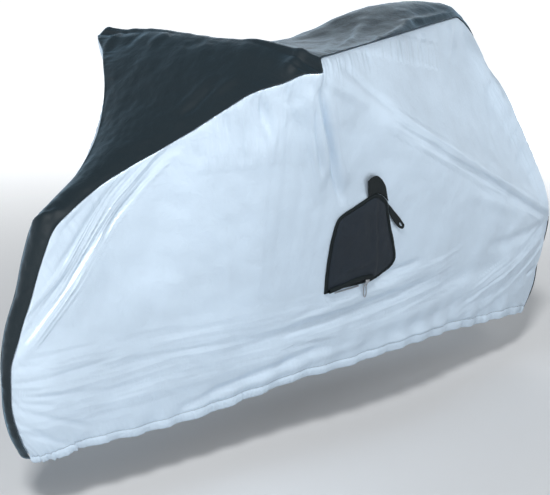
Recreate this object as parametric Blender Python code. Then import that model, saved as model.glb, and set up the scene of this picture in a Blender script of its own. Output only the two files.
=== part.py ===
"""Fitted bicycle cover of light coated cloth, in the shape it takes in use.

Two silver side panels are sewn to one black centre panel, which is a narrow strip down the front, a wide hood,
and a strip over the top and down the rear. A black storage pouch with a bound edge, a web handle, a pull strap
and a zip is sewn to the near side panel.

Every place is first given from a point on the ground: x towards the rear, y across, z up, with the near side
at negative y. place() then moves the part's origin to its mount, under the highest part of the top.
"""

import math

import bmesh
import bpy
import numpy as np
from mathutils import Vector
from mathutils.bvhtree import BVHTree

SADDLE_TOP = (0.95, 0.0, 1.075)
CLOTH = 0.0012
SEAM_GAP = 0.0003
STEPS_PER_ROW = 2
PANEL_ROWS = 14
CENTRE_ROWS = 10

# The seam between the centre panel and a side panel, from the front hem over the top to the rear hem.
# t: station; x, y, z: the near seam, y from the middle plane; mid_x, mid_z: the centre line beside it;
# far_in, far_drop: how much nearer the middle plane and how much lower the far seam hangs;
# hem_x: where the same section of the side panel meets the hem; belly: how far that section stands out.
SEAM_COLUMNS = ("t", "x", "y", "z", "mid_x", "mid_z", "far_in", "far_drop", "hem_x", "belly")
SEAM_ROWS = (
    (0.0, -0.308, 0.021, 0.169, -0.314, 0.166, 0.000, 0.000, -0.300, 0.000),
    (1.0, -0.333, 0.021, 0.220, -0.340, 0.219, 0.000, 0.000, -0.284, 0.008),
    (2.0, -0.351, 0.016, 0.300, -0.357, 0.300, 0.000, 0.000, -0.258, 0.016),
    (3.0, -0.352, 0.017, 0.375, -0.358, 0.376, 0.000, 0.000, -0.218, 0.020),
    (4.0, -0.332, 0.027, 0.459, -0.341, 0.461, 0.000, 0.000, -0.168, 0.022),
    (5.0, -0.304, 0.028, 0.531, -0.315, 0.534, 0.000, 0.000, -0.116, 0.020),
    (6.0, -0.279, 0.033, 0.608, -0.291, 0.613, 0.000, 0.000, -0.060, 0.018),
    (7.0, -0.249, 0.037, 0.674, -0.263, 0.684, 0.000, 0.000, -0.005, 0.016),
    (8.0, -0.203, 0.039, 0.710, -0.209, 0.724, 0.000, 0.000, 0.040, 0.014),
    (9.0, -0.136, 0.045, 0.752, -0.143, 0.763, 0.000, 0.000, 0.080, 0.012),
    (10.0, -0.076, 0.071, 0.790, -0.084, 0.801, 0.000, 0.000, 0.115, 0.010),
    (11.0, -0.018, 0.109, 0.829, -0.027, 0.842, 0.000, 0.000, 0.150, 0.006),
    (12.0, 0.033, 0.155, 0.872, 0.024, 0.887, 0.000, 0.000, 0.182, 0.002),
    (13.0, 0.076, 0.202, 0.916, 0.070, 0.934, 0.000, 0.000, 0.213, -0.002),
    (14.0, 0.113, 0.252, 0.957, 0.113, 0.980, -0.002, 0.000, 0.243, -0.006),
    (15.0, 0.152, 0.303, 0.981, 0.152, 1.015, -0.004, 0.002, 0.273, -0.008),
    (16.0, 0.176, 0.347, 1.004, 0.178, 1.033, -0.008, 0.003, 0.303, -0.010),
    (17.0, 0.200, 0.372, 1.008, 0.193, 1.040, -0.010, 0.006, 0.333, -0.010),
    (18.0, 0.213, 0.353, 1.034, 0.207, 1.043, -0.006, 0.010, 0.368, -0.008),
    (19.0, 0.250, 0.342, 1.037, 0.236, 1.036, 0.006, 0.032, 0.398, -0.006),
    (20.0, 0.310, 0.320, 1.037, 0.300, 1.017, 0.040, 0.058, 0.440, -0.002),
    (21.0, 0.400, 0.287, 1.037, 0.395, 1.006, 0.092, 0.080, 0.498, 0.004),
    (22.0, 0.500, 0.250, 1.037, 0.500, 1.012, 0.100, 0.082, 0.565, 0.008),
    (23.0, 0.600, 0.213, 1.037, 0.600, 1.032, 0.083, 0.067, 0.640, 0.010),
    (24.0, 0.700, 0.176, 1.037, 0.700, 1.062, 0.061, 0.047, 0.715, 0.012),
    (25.0, 0.800, 0.139, 1.037, 0.800, 1.078, 0.034, 0.025, 0.790, 0.012),
    (26.0, 0.900, 0.102, 1.037, 0.900, 1.081, 0.002, 0.007, 0.862, 0.012),
    (27.0, 0.985, 0.074, 1.038, 0.990, 1.075, -0.008, 0.001, 0.930, 0.010),
    (28.0, 1.045, 0.050, 1.037, 1.060, 1.063, 0.000, 0.000, 0.990, 0.010),
    (29.0, 1.083, 0.038, 1.025, 1.104, 1.041, 0.000, 0.000, 1.040, 0.010),
    (30.0, 1.130, 0.035, 0.993, 1.142, 1.004, 0.000, 0.000, 1.085, 0.012),
    (31.0, 1.182, 0.035, 0.918, 1.194, 0.927, 0.000, 0.000, 1.130, 0.014),
    (32.0, 1.260, 0.035, 0.846, 1.270, 0.856, 0.000, 0.000, 1.178, 0.016),
    (33.0, 1.330, 0.035, 0.758, 1.341, 0.767, 0.000, 0.000, 1.226, 0.018),
    (34.0, 1.392, 0.035, 0.678, 1.403, 0.687, 0.000, 0.000, 1.273, 0.018),
    (35.0, 1.450, 0.035, 0.602, 1.461, 0.611, 0.000, 0.000, 1.318, 0.018),
    (36.0, 1.504, 0.035, 0.528, 1.515, 0.536, 0.000, 0.000, 1.360, 0.016),
    (37.0, 1.545, 0.034, 0.452, 1.556, 0.459, 0.000, 0.000, 1.396, 0.014),
    (38.0, 1.571, 0.032, 0.398, 1.584, 0.398, 0.000, 0.000, 1.424, 0.010),
    (39.0, 1.557, 0.034, 0.345, 1.568, 0.342, 0.000, 0.000, 1.437, 0.008),
    (40.0, 1.530, 0.035, 0.288, 1.541, 0.286, 0.000, 0.000, 1.445, 0.006),
    (41.0, 1.519, 0.035, 0.215, 1.530, 0.213, 0.000, 0.000, 1.450, 0.004),
    (42.0, 1.486, 0.035, 0.157, 1.495, 0.151, 0.000, 0.000, 1.452, 0.002),
    (43.0, 1.461, 0.035, 0.126, 1.467, 0.120, 0.000, 0.000, 1.453, 0.000),
)

# The taut line down each side, straight from the end of the hood to the rearmost point of the cover.
# The side panel breaks over it: its upper part leans in to the top, its lower part hangs to the hem.
TAUT_START = (0.206, 0.365, 1.004)
TAUT_END = (1.571, 0.032, 0.398)
TAUT_FAR_SHARE = 0.7
TAUT_ROUNDING = 0.09

# The lower edge of a side panel. y: distance from the middle plane; z: height of the edge.
HEM_COLUMNS = ("x", "y", "z")
HEM_ROWS = (
    (-0.308, 0.021, 0.169),
    (-0.292, 0.027, 0.154),
    (-0.255, 0.039, 0.158),
    (-0.200, 0.049, 0.166),
    (-0.122, 0.060, 0.169),
    (-0.033, 0.067, 0.163),
    (0.070, 0.074, 0.162),
    (0.203, 0.088, 0.170),
    (0.335, 0.106, 0.187),
    (0.430, 0.121, 0.200),
    (0.522, 0.137, 0.202),
    (0.641, 0.149, 0.207),
    (0.741, 0.154, 0.209),
    (0.855, 0.149, 0.207),
    (0.999, 0.125, 0.195),
    (1.153, 0.100, 0.171),
    (1.297, 0.080, 0.157),
    (1.400, 0.058, 0.142),
    (1.461, 0.035, 0.126),
)

# The crest of the hood. y: across the hood, near side negative; rise: above a straight crest.
CREST_COLUMNS = ("y", "rise")
CREST_ROWS = (
    (-0.370, 0.000),
    (-0.310, 0.008),
    (-0.240, 0.012),
    (-0.170, 0.013),
    (-0.110, 0.005),
    (0.000, -0.001),
    (0.110, 0.001),
    (0.230, 0.000),
    (0.300, -0.006),
    (0.370, -0.004),
)
CREST_X, CREST_REACH = 0.207, 0.05

# The main folds of each side panel, as straight ridges, or troughs where the rise is negative.
# x1, z1, x2, z2: the two ends; width: from the fold's line to where it has mostly died away.
FOLD_COLUMNS = ("x1", "z1", "x2", "z2", "width", "rise")
NEAR_FOLDS = (
    (-0.055, 0.800, -0.320, 0.486, 0.018, 0.006),
    (-0.005, 0.832, -0.326, 0.446, 0.018, -0.006),
    (0.020, 0.845, -0.318, 0.405, 0.022, 0.005),
    (0.070, 0.850, 0.122, 0.470, 0.060, 0.008),
    (0.117, 0.960, 0.150, 0.860, 0.016, -0.006),
    (0.178, 0.985, 0.292, 0.760, 0.018, -0.007),
    (0.200, 0.985, 0.400, 0.690, 0.022, 0.008),
    (0.240, 0.940, 0.440, 0.690, 0.018, -0.006),
    (0.290, 0.930, 0.500, 0.700, 0.026, 0.005),
    (0.600, 0.806, 1.520, 0.403, 0.026, -0.011),
    (1.100, 0.880, 1.500, 0.490, 0.026, 0.008),
    (0.912, 1.020, 0.945, 0.940, 0.020, -0.007),
    (0.330, 0.300, 0.860, 0.378, 0.030, -0.013),
    (0.440, 0.272, 1.090, 0.318, 0.028, 0.007),
    (0.950, 0.280, 1.420, 0.290, 0.026, -0.007),
    (0.560, 0.436, 0.700, 0.466, 0.018, -0.008),
    (1.180, 0.410, 1.550, 0.408, 0.022, 0.006),
    (1.250, 0.340, 1.550, 0.396, 0.020, -0.006),
    (-0.345, 0.362, 0.000, 0.328, 0.020, 0.005),
    (-0.345, 0.318, 0.020, 0.270, 0.020, -0.005),
)
FAR_FOLDS = (
    (-0.060, 0.790, -0.300, 0.430, 0.024, 0.006),
    (0.010, 0.830, -0.290, 0.380, 0.024, -0.006),
    (0.150, 0.940, 0.180, 0.500, 0.050, -0.008),
    (0.205, 0.960, 0.360, 0.600, 0.030, 0.010),
    (0.290, 0.900, 0.520, 0.520, 0.034, -0.009),
    (0.500, 0.900, 1.450, 0.470, 0.034, -0.012),
    (0.860, 1.000, 0.940, 0.640, 0.040, -0.010),
    (0.300, 0.300, 0.900, 0.350, 0.034, -0.011),
    (0.700, 0.520, 1.300, 0.330, 0.036, 0.009),
    (1.200, 0.400, 1.540, 0.404, 0.022, 0.006),
)

# The hem is gathered by the elastic in it, which draws its edge in and out.
HEM_WAVE, HEM_WAVE_RISE, HEM_WAVE_FROM = 0.090, 0.004, 0.86

# The storage pouch on the near panel, as x, z on the panel. Each side starts at its corner, and they follow
# each other anticlockwise seen from the near side. Only the corner where the bottom starts is sharp.
POUCH_SIDES = {
    "bottom": ((0.417, 0.437), (0.478, 0.442), (0.530, 0.442), (0.585, 0.444), (0.636, 0.464)),
    "back": ((0.650, 0.482), (0.646, 0.503), (0.630, 0.535), (0.602, 0.584)),
    "top": ((0.572, 0.642), (0.556, 0.660), (0.524, 0.678), (0.500, 0.679), (0.449, 0.661), (0.406, 0.643)),
    "front": ((0.393, 0.620), (0.394, 0.570), (0.404, 0.500)),
}
POUCH_STEPS = 3
POUCH_CLOTH = 0.0016
# The front of the pouch stands off the panel up to a fold down its length, and lies flatter behind it.
POUCH_ACROSS = (0.0, 0.09, 0.2, 0.32, 0.45, 0.56, 0.64, 0.69, 0.73, 0.80, 0.9, 1.0)
POUCH_UP = (0.0, 0.07, 0.18, 0.30, 0.42, 0.54, 0.66, 0.78, 0.9, 1.0)
POUCH_FOLD_ACROSS = 0.70
POUCH_PUFF, POUCH_PUFF_BEHIND = 0.0080, 0.0025
BINDING_WIDTH, BINDING_THICK = 0.009, 0.0028
LAY_GAP = 0.0006
SEWN_GAP = 0.0008

# The pieces sewn into the pouch's edge, as x, z on the panel. Each is a band of web between two edges. Its seam
# is the stretch of the pouch's edge between two places, and its edges start there.
WEB = 0.0022
HANDLE_SEAM = ((0.487, 0.676), (0.565, 0.650))
HANDLE_FRONT_EDGE = ((0.474, 0.703), (0.465, 0.722))
HANDLE_BACK_EDGE = ((0.551, 0.675), (0.537, 0.698), (0.517, 0.718))
HANDLE_TOP = ((0.465, 0.722), (0.479, 0.731), (0.496, 0.731), (0.517, 0.718))
HANDLE_LIFT = 0.006
STRAP_SEAM = ((0.586, 0.616), (0.571, 0.644))
STRAP_LOWER_EDGE = ((0.595, 0.6065), (0.606, 0.596), (0.617, 0.5865), (0.629, 0.5765))
STRAP_UPPER_EDGE = ((0.582, 0.6375), (0.604, 0.620), (0.624, 0.604), (0.641, 0.5885))
STRAP_TIP = ((0.629, 0.5765), (0.641, 0.5705), (0.650, 0.572), (0.651, 0.579), (0.641, 0.5885))
STRAP_LIFT = 0.007
STRAP_SLOT_CELLS = ((1, 5), (1, 6), (1, 7))
PULLER_FRONT_EDGE = ((0.555, 0.408), (0.549, 0.416), (0.5415, 0.429), (0.547, 0.4385))
PULLER_BACK_EDGE = ((0.562, 0.408), (0.560, 0.416), (0.557, 0.427), (0.553, 0.4385))
PULLER_LIFT = 0.003

# How finely each of these bands is divided, as shares of its length along it and across it.
HANDLE_ACROSS = (0.0, 0.125, 0.25, 0.375, 0.5, 0.625, 0.75, 0.875, 1.0)
HANDLE_UP = (0.0, 0.2, 0.45, 0.7, 0.9, 1.0)
STRAP_ALONG = (0.0, 0.15, 0.3, 0.45, 0.6, 0.68, 0.76, 0.84, 0.92, 1.0)
STRAP_WIDE = (0.0, 0.36, 0.64, 1.0)
PULLER_WIDE = (0.0, 1.0)
PULLER_UP = (0.0, 0.25, 0.5, 0.75, 1.0)


def smooth_curve(columns, rows):
    """A function of the first column that gives the others, smooth and without overshoot between the rows."""
    table = np.array(rows, float)
    at, values = table[:, 0], table[:, 1:]
    run = np.diff(at)[:, None]
    slope = np.diff(values, axis=0) / run
    same_way = slope[:-1] * slope[1:] > 0
    steep = np.where(same_way, 2 * slope[:-1] * slope[1:], 0.0)
    tangent = np.vstack([slope[:1], steep / np.where(same_way, slope[:-1] + slope[1:], 1.0), slope[-1:]])

    def value(place):
        i = int(np.clip(np.searchsorted(at, place) - 1, 0, len(at) - 2))
        f = (place - at[i]) / run[i, 0]
        mixed = (
            (2 * f**3 - 3 * f**2 + 1) * values[i]
            + (f**3 - 2 * f**2 + f) * run[i, 0] * tangent[i]
            + (3 * f**2 - 2 * f**3) * values[i + 1]
            + (f**3 - f**2) * run[i, 0] * tangent[i + 1]
        )
        return dict(zip(columns[1:], mixed))

    return value


seam_at = smooth_curve(SEAM_COLUMNS, SEAM_ROWS)
hem_at = smooth_curve(HEM_COLUMNS, HEM_ROWS)
crest_at = smooth_curve(CREST_COLUMNS, CREST_ROWS)
LAST_ROW = SEAM_ROWS[-1][0]


def centre_point(t, across):
    """The centre panel at station t; across runs from -1 at the near seam to 1 at the far seam."""
    row = seam_at(t)
    crown = 1 - across * across
    far = max(across, 0.0)
    x = row["x"] + (row["mid_x"] - row["x"]) * crown
    y = (row["y"] - row["far_in"] * (across > 0)) * across
    z = row["z"] + (row["mid_z"] - row["z"]) * crown - row["far_drop"] * far * far
    nearness = math.exp(-(((x - CREST_X) / CREST_REACH) ** 2))
    return np.array((x, y, z + crest_at(y)["rise"] * nearness * (1 - abs(across) ** 6)))


def taut_rise(top, low, down):
    """How far the taut line pushes out a section that runs from top to low, a rounded tent over the line."""
    run = np.array(TAUT_END) - np.array(TAUT_START)
    way = low - top
    crossing = np.array(((way[0], -run[0]), (way[2], -run[2])))
    if abs(np.linalg.det(crossing)) < 1e-9:
        return 0.0
    break_at, along = np.linalg.solve(crossing, (TAUT_START[0] - top[0], TAUT_START[2] - top[2]))
    if not (0 < break_at < 1 and 0 < along < 1):
        return 0.0
    height = TAUT_START[1] + run[1] * along - (top[1] + way[1] * break_at)
    rising, falling = down / break_at, (1 - down) / (1 - break_at)
    spread = TAUT_ROUNDING / min(1.0, 4 * break_at * (1 - break_at) + 0.2)
    tent = 0.5 * (rising + falling - math.sqrt((rising - falling) ** 2 + spread**2) + spread)
    ends = 0.5 * (1 + spread) - 0.5 * math.sqrt(1 + spread**2)
    return height * (tent - ends * (abs(2 * down - 1) ** 3)) if height > 0 else 0.0


def fold_rise(folds, x, z):
    """The sum of the panel's folds at a place, each fading across its line and towards its ends."""
    total = 0.0
    for fold in folds:
        row = dict(zip(FOLD_COLUMNS, fold))
        run = np.array((row["x2"] - row["x1"], row["z2"] - row["z1"]))
        offset = np.array((x - row["x1"], z - row["z1"]))
        length = np.linalg.norm(run)
        along = float(offset @ run) / length**2
        across = float(offset[0] * run[1] - offset[1] * run[0]) / length
        window = max(0.0, 1 - (2 * along - 1) ** 4)
        total += row["rise"] * window * math.exp(-((across / row["width"]) ** 2))
    return total


def side_point(t, down, side):
    """A side panel at station t; down runs from 0 at the seam to 1 at the hem, side is -1 near and 1 far."""
    row = seam_at(t)
    hem = hem_at(row["hem_x"])
    top = np.array((row["x"], row["y"], row["z"]))
    if side > 0:
        top -= (0.0, row["far_in"], row["far_drop"])
    low = np.array((row["hem_x"], hem["y"], hem["z"]))
    point = top + (low - top) * down
    point[1] += row["belly"] * 4 * down * (1 - down)
    point[1] += taut_rise(top, low, down) * (1.0 if side < 0 else TAUT_FAR_SHARE)
    sewn = 1 - (1 - down) ** 8
    folds = NEAR_FOLDS if side < 0 else FAR_FOLDS
    point[1] += fold_rise(folds, point[0], point[2]) * sewn * min(1.0, (LAST_ROW - t) / 2, t / 2)
    if down > HEM_WAVE_FROM:
        share = (down - HEM_WAVE_FROM) / (1 - HEM_WAVE_FROM)
        point[1] += HEM_WAVE_RISE * share * math.sin(2 * math.pi * point[0] / HEM_WAVE + side)
    return point * (1, side, 1)


def grid_of(point_at, rows, columns):
    return np.array([[point_at(row, column) for column in columns] for row in rows])


def normals_of(whole):
    """Outward unit normals of a grid of points, evened out along its rows."""
    normal = np.cross(np.gradient(whole, axis=1), np.gradient(whole, axis=0))
    normal /= np.linalg.norm(normal, axis=2, keepdims=True)
    padded = np.concatenate([normal[:, :1], normal, normal[:, -1:]], axis=1)
    normal = padded[:, :-2] + 2 * normal + padded[:, 2:]
    return normal / np.linalg.norm(normal, axis=2, keepdims=True)


def place(point):
    return Vector(point) - Vector(SADDLE_TOP)


def material(name, colour, roughness, metallic=0.0):
    made = bpy.data.materials.new(name)
    made.use_nodes = True
    shader = made.node_tree.nodes["Principled BSDF"]
    shader.inputs["Base Color"].default_value = (*colour, 1.0)
    shader.inputs["Roughness"].default_value = roughness
    shader.inputs["Metallic"].default_value = metallic
    return made


def finish(name, mesh, look):
    data = bpy.data.meshes.new(name)
    mesh.to_mesh(data)
    mesh.free()
    data.materials.append(look)
    data.shade_smooth()
    data.set_sharp_from_angle(angle=math.radians(40))
    made = bpy.data.objects.new(name, data)
    bpy.context.scene.collection.objects.link(made)
    return made


def closed_sheet(name, outer, inner, faces, look):
    """A closed sheet: faces over the outer points, the same over the inner ones, and a wall round each edge."""
    mesh = bmesh.new()
    tops = [mesh.verts.new(place(point)) for point in outer]
    bottoms = [mesh.verts.new(place(point)) for point in inner]
    used = {}
    for face in faces:
        mesh.faces.new([tops[i] for i in face])
        mesh.faces.new([bottoms[i] for i in reversed(face)])
        for a, b in zip(face, face[1:] + face[:1]):
            used[(a, b)] = True
    for a, b in used:
        if (b, a) not in used:
            mesh.faces.new((tops[b], tops[a], bottoms[a], bottoms[b]))
    bmesh.ops.delete(mesh, geom=[v for v in mesh.verts if not v.link_faces], context="VERTS")
    bmesh.ops.triangulate(mesh, faces=mesh.faces[:], quad_method="SHORT_EDGE")
    return finish(name, mesh, look)


def grid_faces(rows, columns, skipped=()):
    """The faces of a grid of points without the skipped cells; rows run upwards and columns rearwards."""
    return [
        (i * columns + j, i * columns + j + 1, (i + 1) * columns + j + 1, (i + 1) * columns + j)
        for i in range(rows - 1)
        for j in range(columns - 1)
        if (i, j) not in skipped
    ]


for leftover in list(bpy.data.objects):
    bpy.data.objects.remove(leftover)

silver_cloth = material("silver_cloth", (0.55, 0.66, 0.78), 0.45)
black_cloth = material("black_cloth", (0.045, 0.065, 0.08), 0.6)
black_web = material("black_web", (0.03, 0.035, 0.04), 0.8)
puller_metal = material("puller_metal", (0.2, 0.21, 0.22), 0.4, 0.8)

# The whole skin is one grid of sections, so that neighbouring panels share their seam and its mitre.
# Its rows run from the near hem up, over the top and down to the far hem, its columns from front to rear.
stations = np.linspace(0, LAST_ROW, int(LAST_ROW) * STEPS_PER_ROW + 1)
downs = np.linspace(0, 1, PANEL_ROWS + 1)
acrosses = np.linspace(-1, 1, CENTRE_ROWS + 1)
near = grid_of(lambda down, t: side_point(t, down, -1), downs[::-1], stations)
centre = grid_of(lambda across, t: centre_point(t, across), acrosses, stations)
far = grid_of(lambda down, t: side_point(t, down, 1), downs, stations)
skin = np.concatenate([near, centre[1:-1], far])
skin_normals = normals_of(skin)
NEAR_SEAM, FAR_SEAM = PANEL_ROWS, PANEL_ROWS + CENTRE_ROWS


def panel(name, first, last, look):
    """The rows of the skin from first to last, its sewn edges set back by the seam's gap."""
    part = skin[first : last + 1].copy()
    for row, edge, inside in ((first, 0, 1), (last, -1, -2)):
        if row in (NEAR_SEAM, FAR_SEAM):
            inward = part[inside] - part[edge]
            part[edge] += inward / np.linalg.norm(inward, axis=1, keepdims=True) * SEAM_GAP
    inner = part - skin_normals[first : last + 1] * CLOTH
    rows, columns = part.shape[:2]
    return closed_sheet(name, part.reshape(-1, 3), inner.reshape(-1, 3), grid_faces(rows, columns), look)


near_panel = panel("side_panel_near", 0, NEAR_SEAM, silver_cloth)
panel("centre_panel", NEAR_SEAM, FAR_SEAM, black_cloth)
panel("side_panel_far", FAR_SEAM, len(skin) - 1, silver_cloth)

near_corners = [corner.co for corner in near_panel.data.vertices]
near_skin = BVHTree.FromPolygons(near_corners, [face.vertices for face in near_panel.data.polygons])


def on_near_panel(x, z, lift):
    """The point at (x, z) that lies lift outside the near panel."""
    hit, normal = near_skin.ray_cast(place((x, -1.0, z)), Vector((0.0, 1.0, 0.0)))[:2]
    return np.array(hit + normal * lift) + SADDLE_TOP


def smooth_line(points, steps, closed=False):
    """A smooth line through the points. A repeated point makes a sharp corner."""
    points = np.array(points)
    around = np.concatenate([points[-1:], points, points[:2]] if closed else [points[:1], points, points[-1:]])
    shares = (np.arange(steps) / steps)[:, None]
    line = []
    for before, start, end, after in zip(around, around[1:], around[2:], around[3:]):
        if not np.allclose(start, end):
            bend = 2 * before - 5 * start + 4 * end - after
            twist = 3 * start - before - 3 * end + after
            line.append(start + 0.5 * ((end - before) * shares + bend * shares**2 + twist * shares**3))
    return np.concatenate(line if closed else [*line, points[-1:]])


def set_in(line, distance):
    """A closed line, anticlockwise seen from the near side, moved inwards by distance."""
    ahead, behind = np.roll(line, -1, axis=0) - line, line - np.roll(line, 1, axis=0)
    ahead /= np.linalg.norm(ahead, axis=1, keepdims=True)
    behind /= np.linalg.norm(behind, axis=1, keepdims=True)
    mean = ahead + behind
    mean /= np.linalg.norm(mean, axis=1, keepdims=True)
    inward = np.stack([-mean[:, 1], mean[:, 0]], axis=1)
    return line + inward * distance / np.clip((mean * ahead).sum(axis=1, keepdims=True), 0.5, 1.0)


def resampled(line, shares):
    """The points of a line at the given shares of its length."""
    lengths = np.concatenate([[0.0], np.cumsum(np.linalg.norm(np.diff(line, axis=0), axis=1))])
    return np.stack([np.interp(np.array(shares) * lengths[-1], lengths, line[:, k]) for k in (0, 1)], axis=1)


def patch(bottom, top, front, back, across, up):
    """A grid of places between four lines: bottom and top run backwards, front and back run upwards."""
    low, high = resampled(bottom, across)[None], resampled(top, across)[None]
    left, right = resampled(front, up)[:, None], resampled(back, up)[:, None]
    u, v = np.array(across)[None, :, None], np.array(up)[:, None, None]
    corners = (1 - v) * ((1 - u) * low[:, :1] + u * low[:, -1:]) + v * ((1 - u) * high[:, :1] + u * high[:, -1:])
    return (1 - v) * low + v * high + (1 - u) * left + u * right - corners


def laid(name, places, lift, thick, look, skipped=()):
    """A sheet that lies on the near panel over a grid of places, with lift giving its height at each."""
    rows, columns = places.shape[:2]
    flat = list(zip(places.reshape(-1, 2), np.broadcast_to(lift, (rows, columns)).reshape(-1)))
    tops = [on_near_panel(x, z, LAY_GAP + height + thick) for (x, z), height in flat]
    bottoms = [on_near_panel(x, z, LAY_GAP + height) for (x, z), height in flat]
    closed_sheet(name, tops, bottoms, grid_faces(rows, columns, skipped), look)


pouch_points = [point for side in POUCH_SIDES.values() for point in side]
outline = smooth_line([pouch_points[0], *pouch_points], POUCH_STEPS, closed=True)


def outline_sides(line):
    """The four sides of a closed line round the pouch: bottom, back, top and front."""
    ends = np.cumsum([0] + [len(side) * POUCH_STEPS for side in POUCH_SIDES.values()])
    looped = np.concatenate([line, line[:1]])
    return [looped[a : b + 1] for a, b in zip(ends, ends[1:])]


def along_outline(start, end, shares):
    """Places just outside the pouch's edge, from the one nearest to start to the one nearest to end."""
    outside = set_in(outline, -SEWN_GAP)
    a, b = (int(np.argmin(np.linalg.norm(outside - np.array(point), axis=1))) for point in (start, end))
    return resampled(outside[a : b + 1] if a < b else outside[b : a + 1][::-1], shares)


bottom, back, top, front = outline_sides(set_in(outline, BINDING_WIDTH + SEAM_GAP))
places = patch(bottom, top[::-1], front[::-1], back, POUCH_ACROSS, POUCH_UP)
u, v = np.array(POUCH_ACROSS)[None, :], np.array(POUCH_UP)[:, None]
front_puff = POUCH_PUFF * np.minimum(1, 6 * u) ** 0.5 * (u < POUCH_FOLD_ACROSS)
behind_puff = POUCH_PUFF_BEHIND * (1 - u) / (1 - POUCH_FOLD_ACROSS) * (u >= POUCH_FOLD_ACROSS)
puff = (front_puff + behind_puff) * np.minimum(1, 5 * v) ** 0.5 * np.minimum(1, 3 * (1 - v)) ** 0.5
laid("pouch_panel", places, puff, POUCH_CLOTH, black_cloth)

binding_profile = ((0.0, 0.6), (0.5, 1.0), (1.0, 0.6))
lines = [(set_in(outline, BINDING_WIDTH * share), BINDING_THICK * height) for share, height in binding_profile]
tops = [on_near_panel(x, z, LAY_GAP + height) for line, height in lines for x, z in line]
bottoms = [on_near_panel(x, z, LAY_GAP) for line, height in lines for x, z in line]
count = len(outline)
ring = [
    (r * count + i, r * count + (i + 1) % count, (r + 1) * count + (i + 1) % count, (r + 1) * count + i)
    for r in range(len(lines) - 1)
    for i in range(count)
]
closed_sheet("pouch_binding", tops, bottoms, ring, black_web)

seam = along_outline(*HANDLE_SEAM, HANDLE_ACROSS)
handle = patch(
    seam,
    smooth_line(HANDLE_TOP, POUCH_STEPS),
    smooth_line([seam[0], *HANDLE_FRONT_EDGE], POUCH_STEPS),
    smooth_line([seam[-1], *HANDLE_BACK_EDGE], POUCH_STEPS),
    HANDLE_ACROSS,
    HANDLE_UP,
)
laid("pouch_handle", handle, HANDLE_LIFT * np.sqrt(HANDLE_UP)[:, None], WEB, black_web)

seam = along_outline(*STRAP_SEAM, STRAP_WIDE)
strap = patch(
    smooth_line([seam[0], *STRAP_LOWER_EDGE], POUCH_STEPS),
    smooth_line([seam[-1], *STRAP_UPPER_EDGE], POUCH_STEPS),
    seam,
    smooth_line(STRAP_TIP, POUCH_STEPS),
    STRAP_ALONG,
    STRAP_WIDE,
)
hanging = STRAP_LIFT * np.sqrt(STRAP_ALONG)[None]
laid("pull_strap", strap, hanging, WEB, black_web, STRAP_SLOT_CELLS)

puller = patch(
    np.array((PULLER_FRONT_EDGE[0], PULLER_BACK_EDGE[0])),
    np.array((PULLER_FRONT_EDGE[-1], PULLER_BACK_EDGE[-1])),
    smooth_line(PULLER_FRONT_EDGE, POUCH_STEPS),
    smooth_line(PULLER_BACK_EDGE, POUCH_STEPS),
    PULLER_WIDE,
    PULLER_UP,
)
laid("zip_puller", puller, PULLER_LIFT * (1 - np.array(PULLER_UP))[:, None], WEB, puller_metal)
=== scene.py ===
"""The looks of a fitted bicycle cover: silver side panels, a black centre panel and a black pouch.

Places are first given as on the sewing pattern, from a point on the ground: x towards the rear, y across and
z up, with the near side at negative y. The part's own origin is at its mount, under the highest part of
the top.
"""

import math

import bmesh
import bpy
import numpy as np
from mathutils import Matrix, Vector, noise
from mathutils.bvhtree import BVHTree


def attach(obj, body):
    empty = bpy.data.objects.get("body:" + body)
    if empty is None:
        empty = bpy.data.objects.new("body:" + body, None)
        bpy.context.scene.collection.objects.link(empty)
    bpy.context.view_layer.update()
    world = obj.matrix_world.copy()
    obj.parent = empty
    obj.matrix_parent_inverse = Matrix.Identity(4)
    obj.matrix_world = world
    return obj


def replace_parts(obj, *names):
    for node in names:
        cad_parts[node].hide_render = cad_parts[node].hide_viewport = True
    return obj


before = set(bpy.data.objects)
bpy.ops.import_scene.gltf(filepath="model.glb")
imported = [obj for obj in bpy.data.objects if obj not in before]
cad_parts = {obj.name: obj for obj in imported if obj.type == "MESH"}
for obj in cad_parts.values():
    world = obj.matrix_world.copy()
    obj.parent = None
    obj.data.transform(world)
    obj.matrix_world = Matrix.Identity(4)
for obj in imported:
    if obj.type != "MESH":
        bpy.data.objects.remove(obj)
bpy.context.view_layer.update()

MOUNT_AT = np.array((0.95, 0.0, 1.075))

# ---- Camera -----------------------------------------------------------------------------------------------
# A long lens from the front left, a little above the hood, and turned slightly off level.
CAMERA_AT, CAMERA_AIM = (-2.93729, -2.42712, 0.39678), (-0.5051, 0.0, -0.5708)
LENS_MM, SENSOR_MM, CAMERA_ROLL = 94.6, 36.0, 1.526

camera = bpy.data.objects.new("camera", bpy.data.cameras.new("camera"))
camera.data.sensor_fit = "HORIZONTAL"
camera.data.sensor_width = SENSOR_MM
camera.data.lens = LENS_MM
aim = (Vector(CAMERA_AIM) - Vector(CAMERA_AT)).to_track_quat("-Z", "Y").to_matrix()
turned = aim @ Matrix.Rotation(math.radians(CAMERA_ROLL), 3, "Z")
camera.matrix_world = Matrix.Translation(CAMERA_AT) @ turned.to_4x4()
bpy.context.scene.collection.objects.link(camera)
bpy.context.scene.camera = camera

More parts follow.
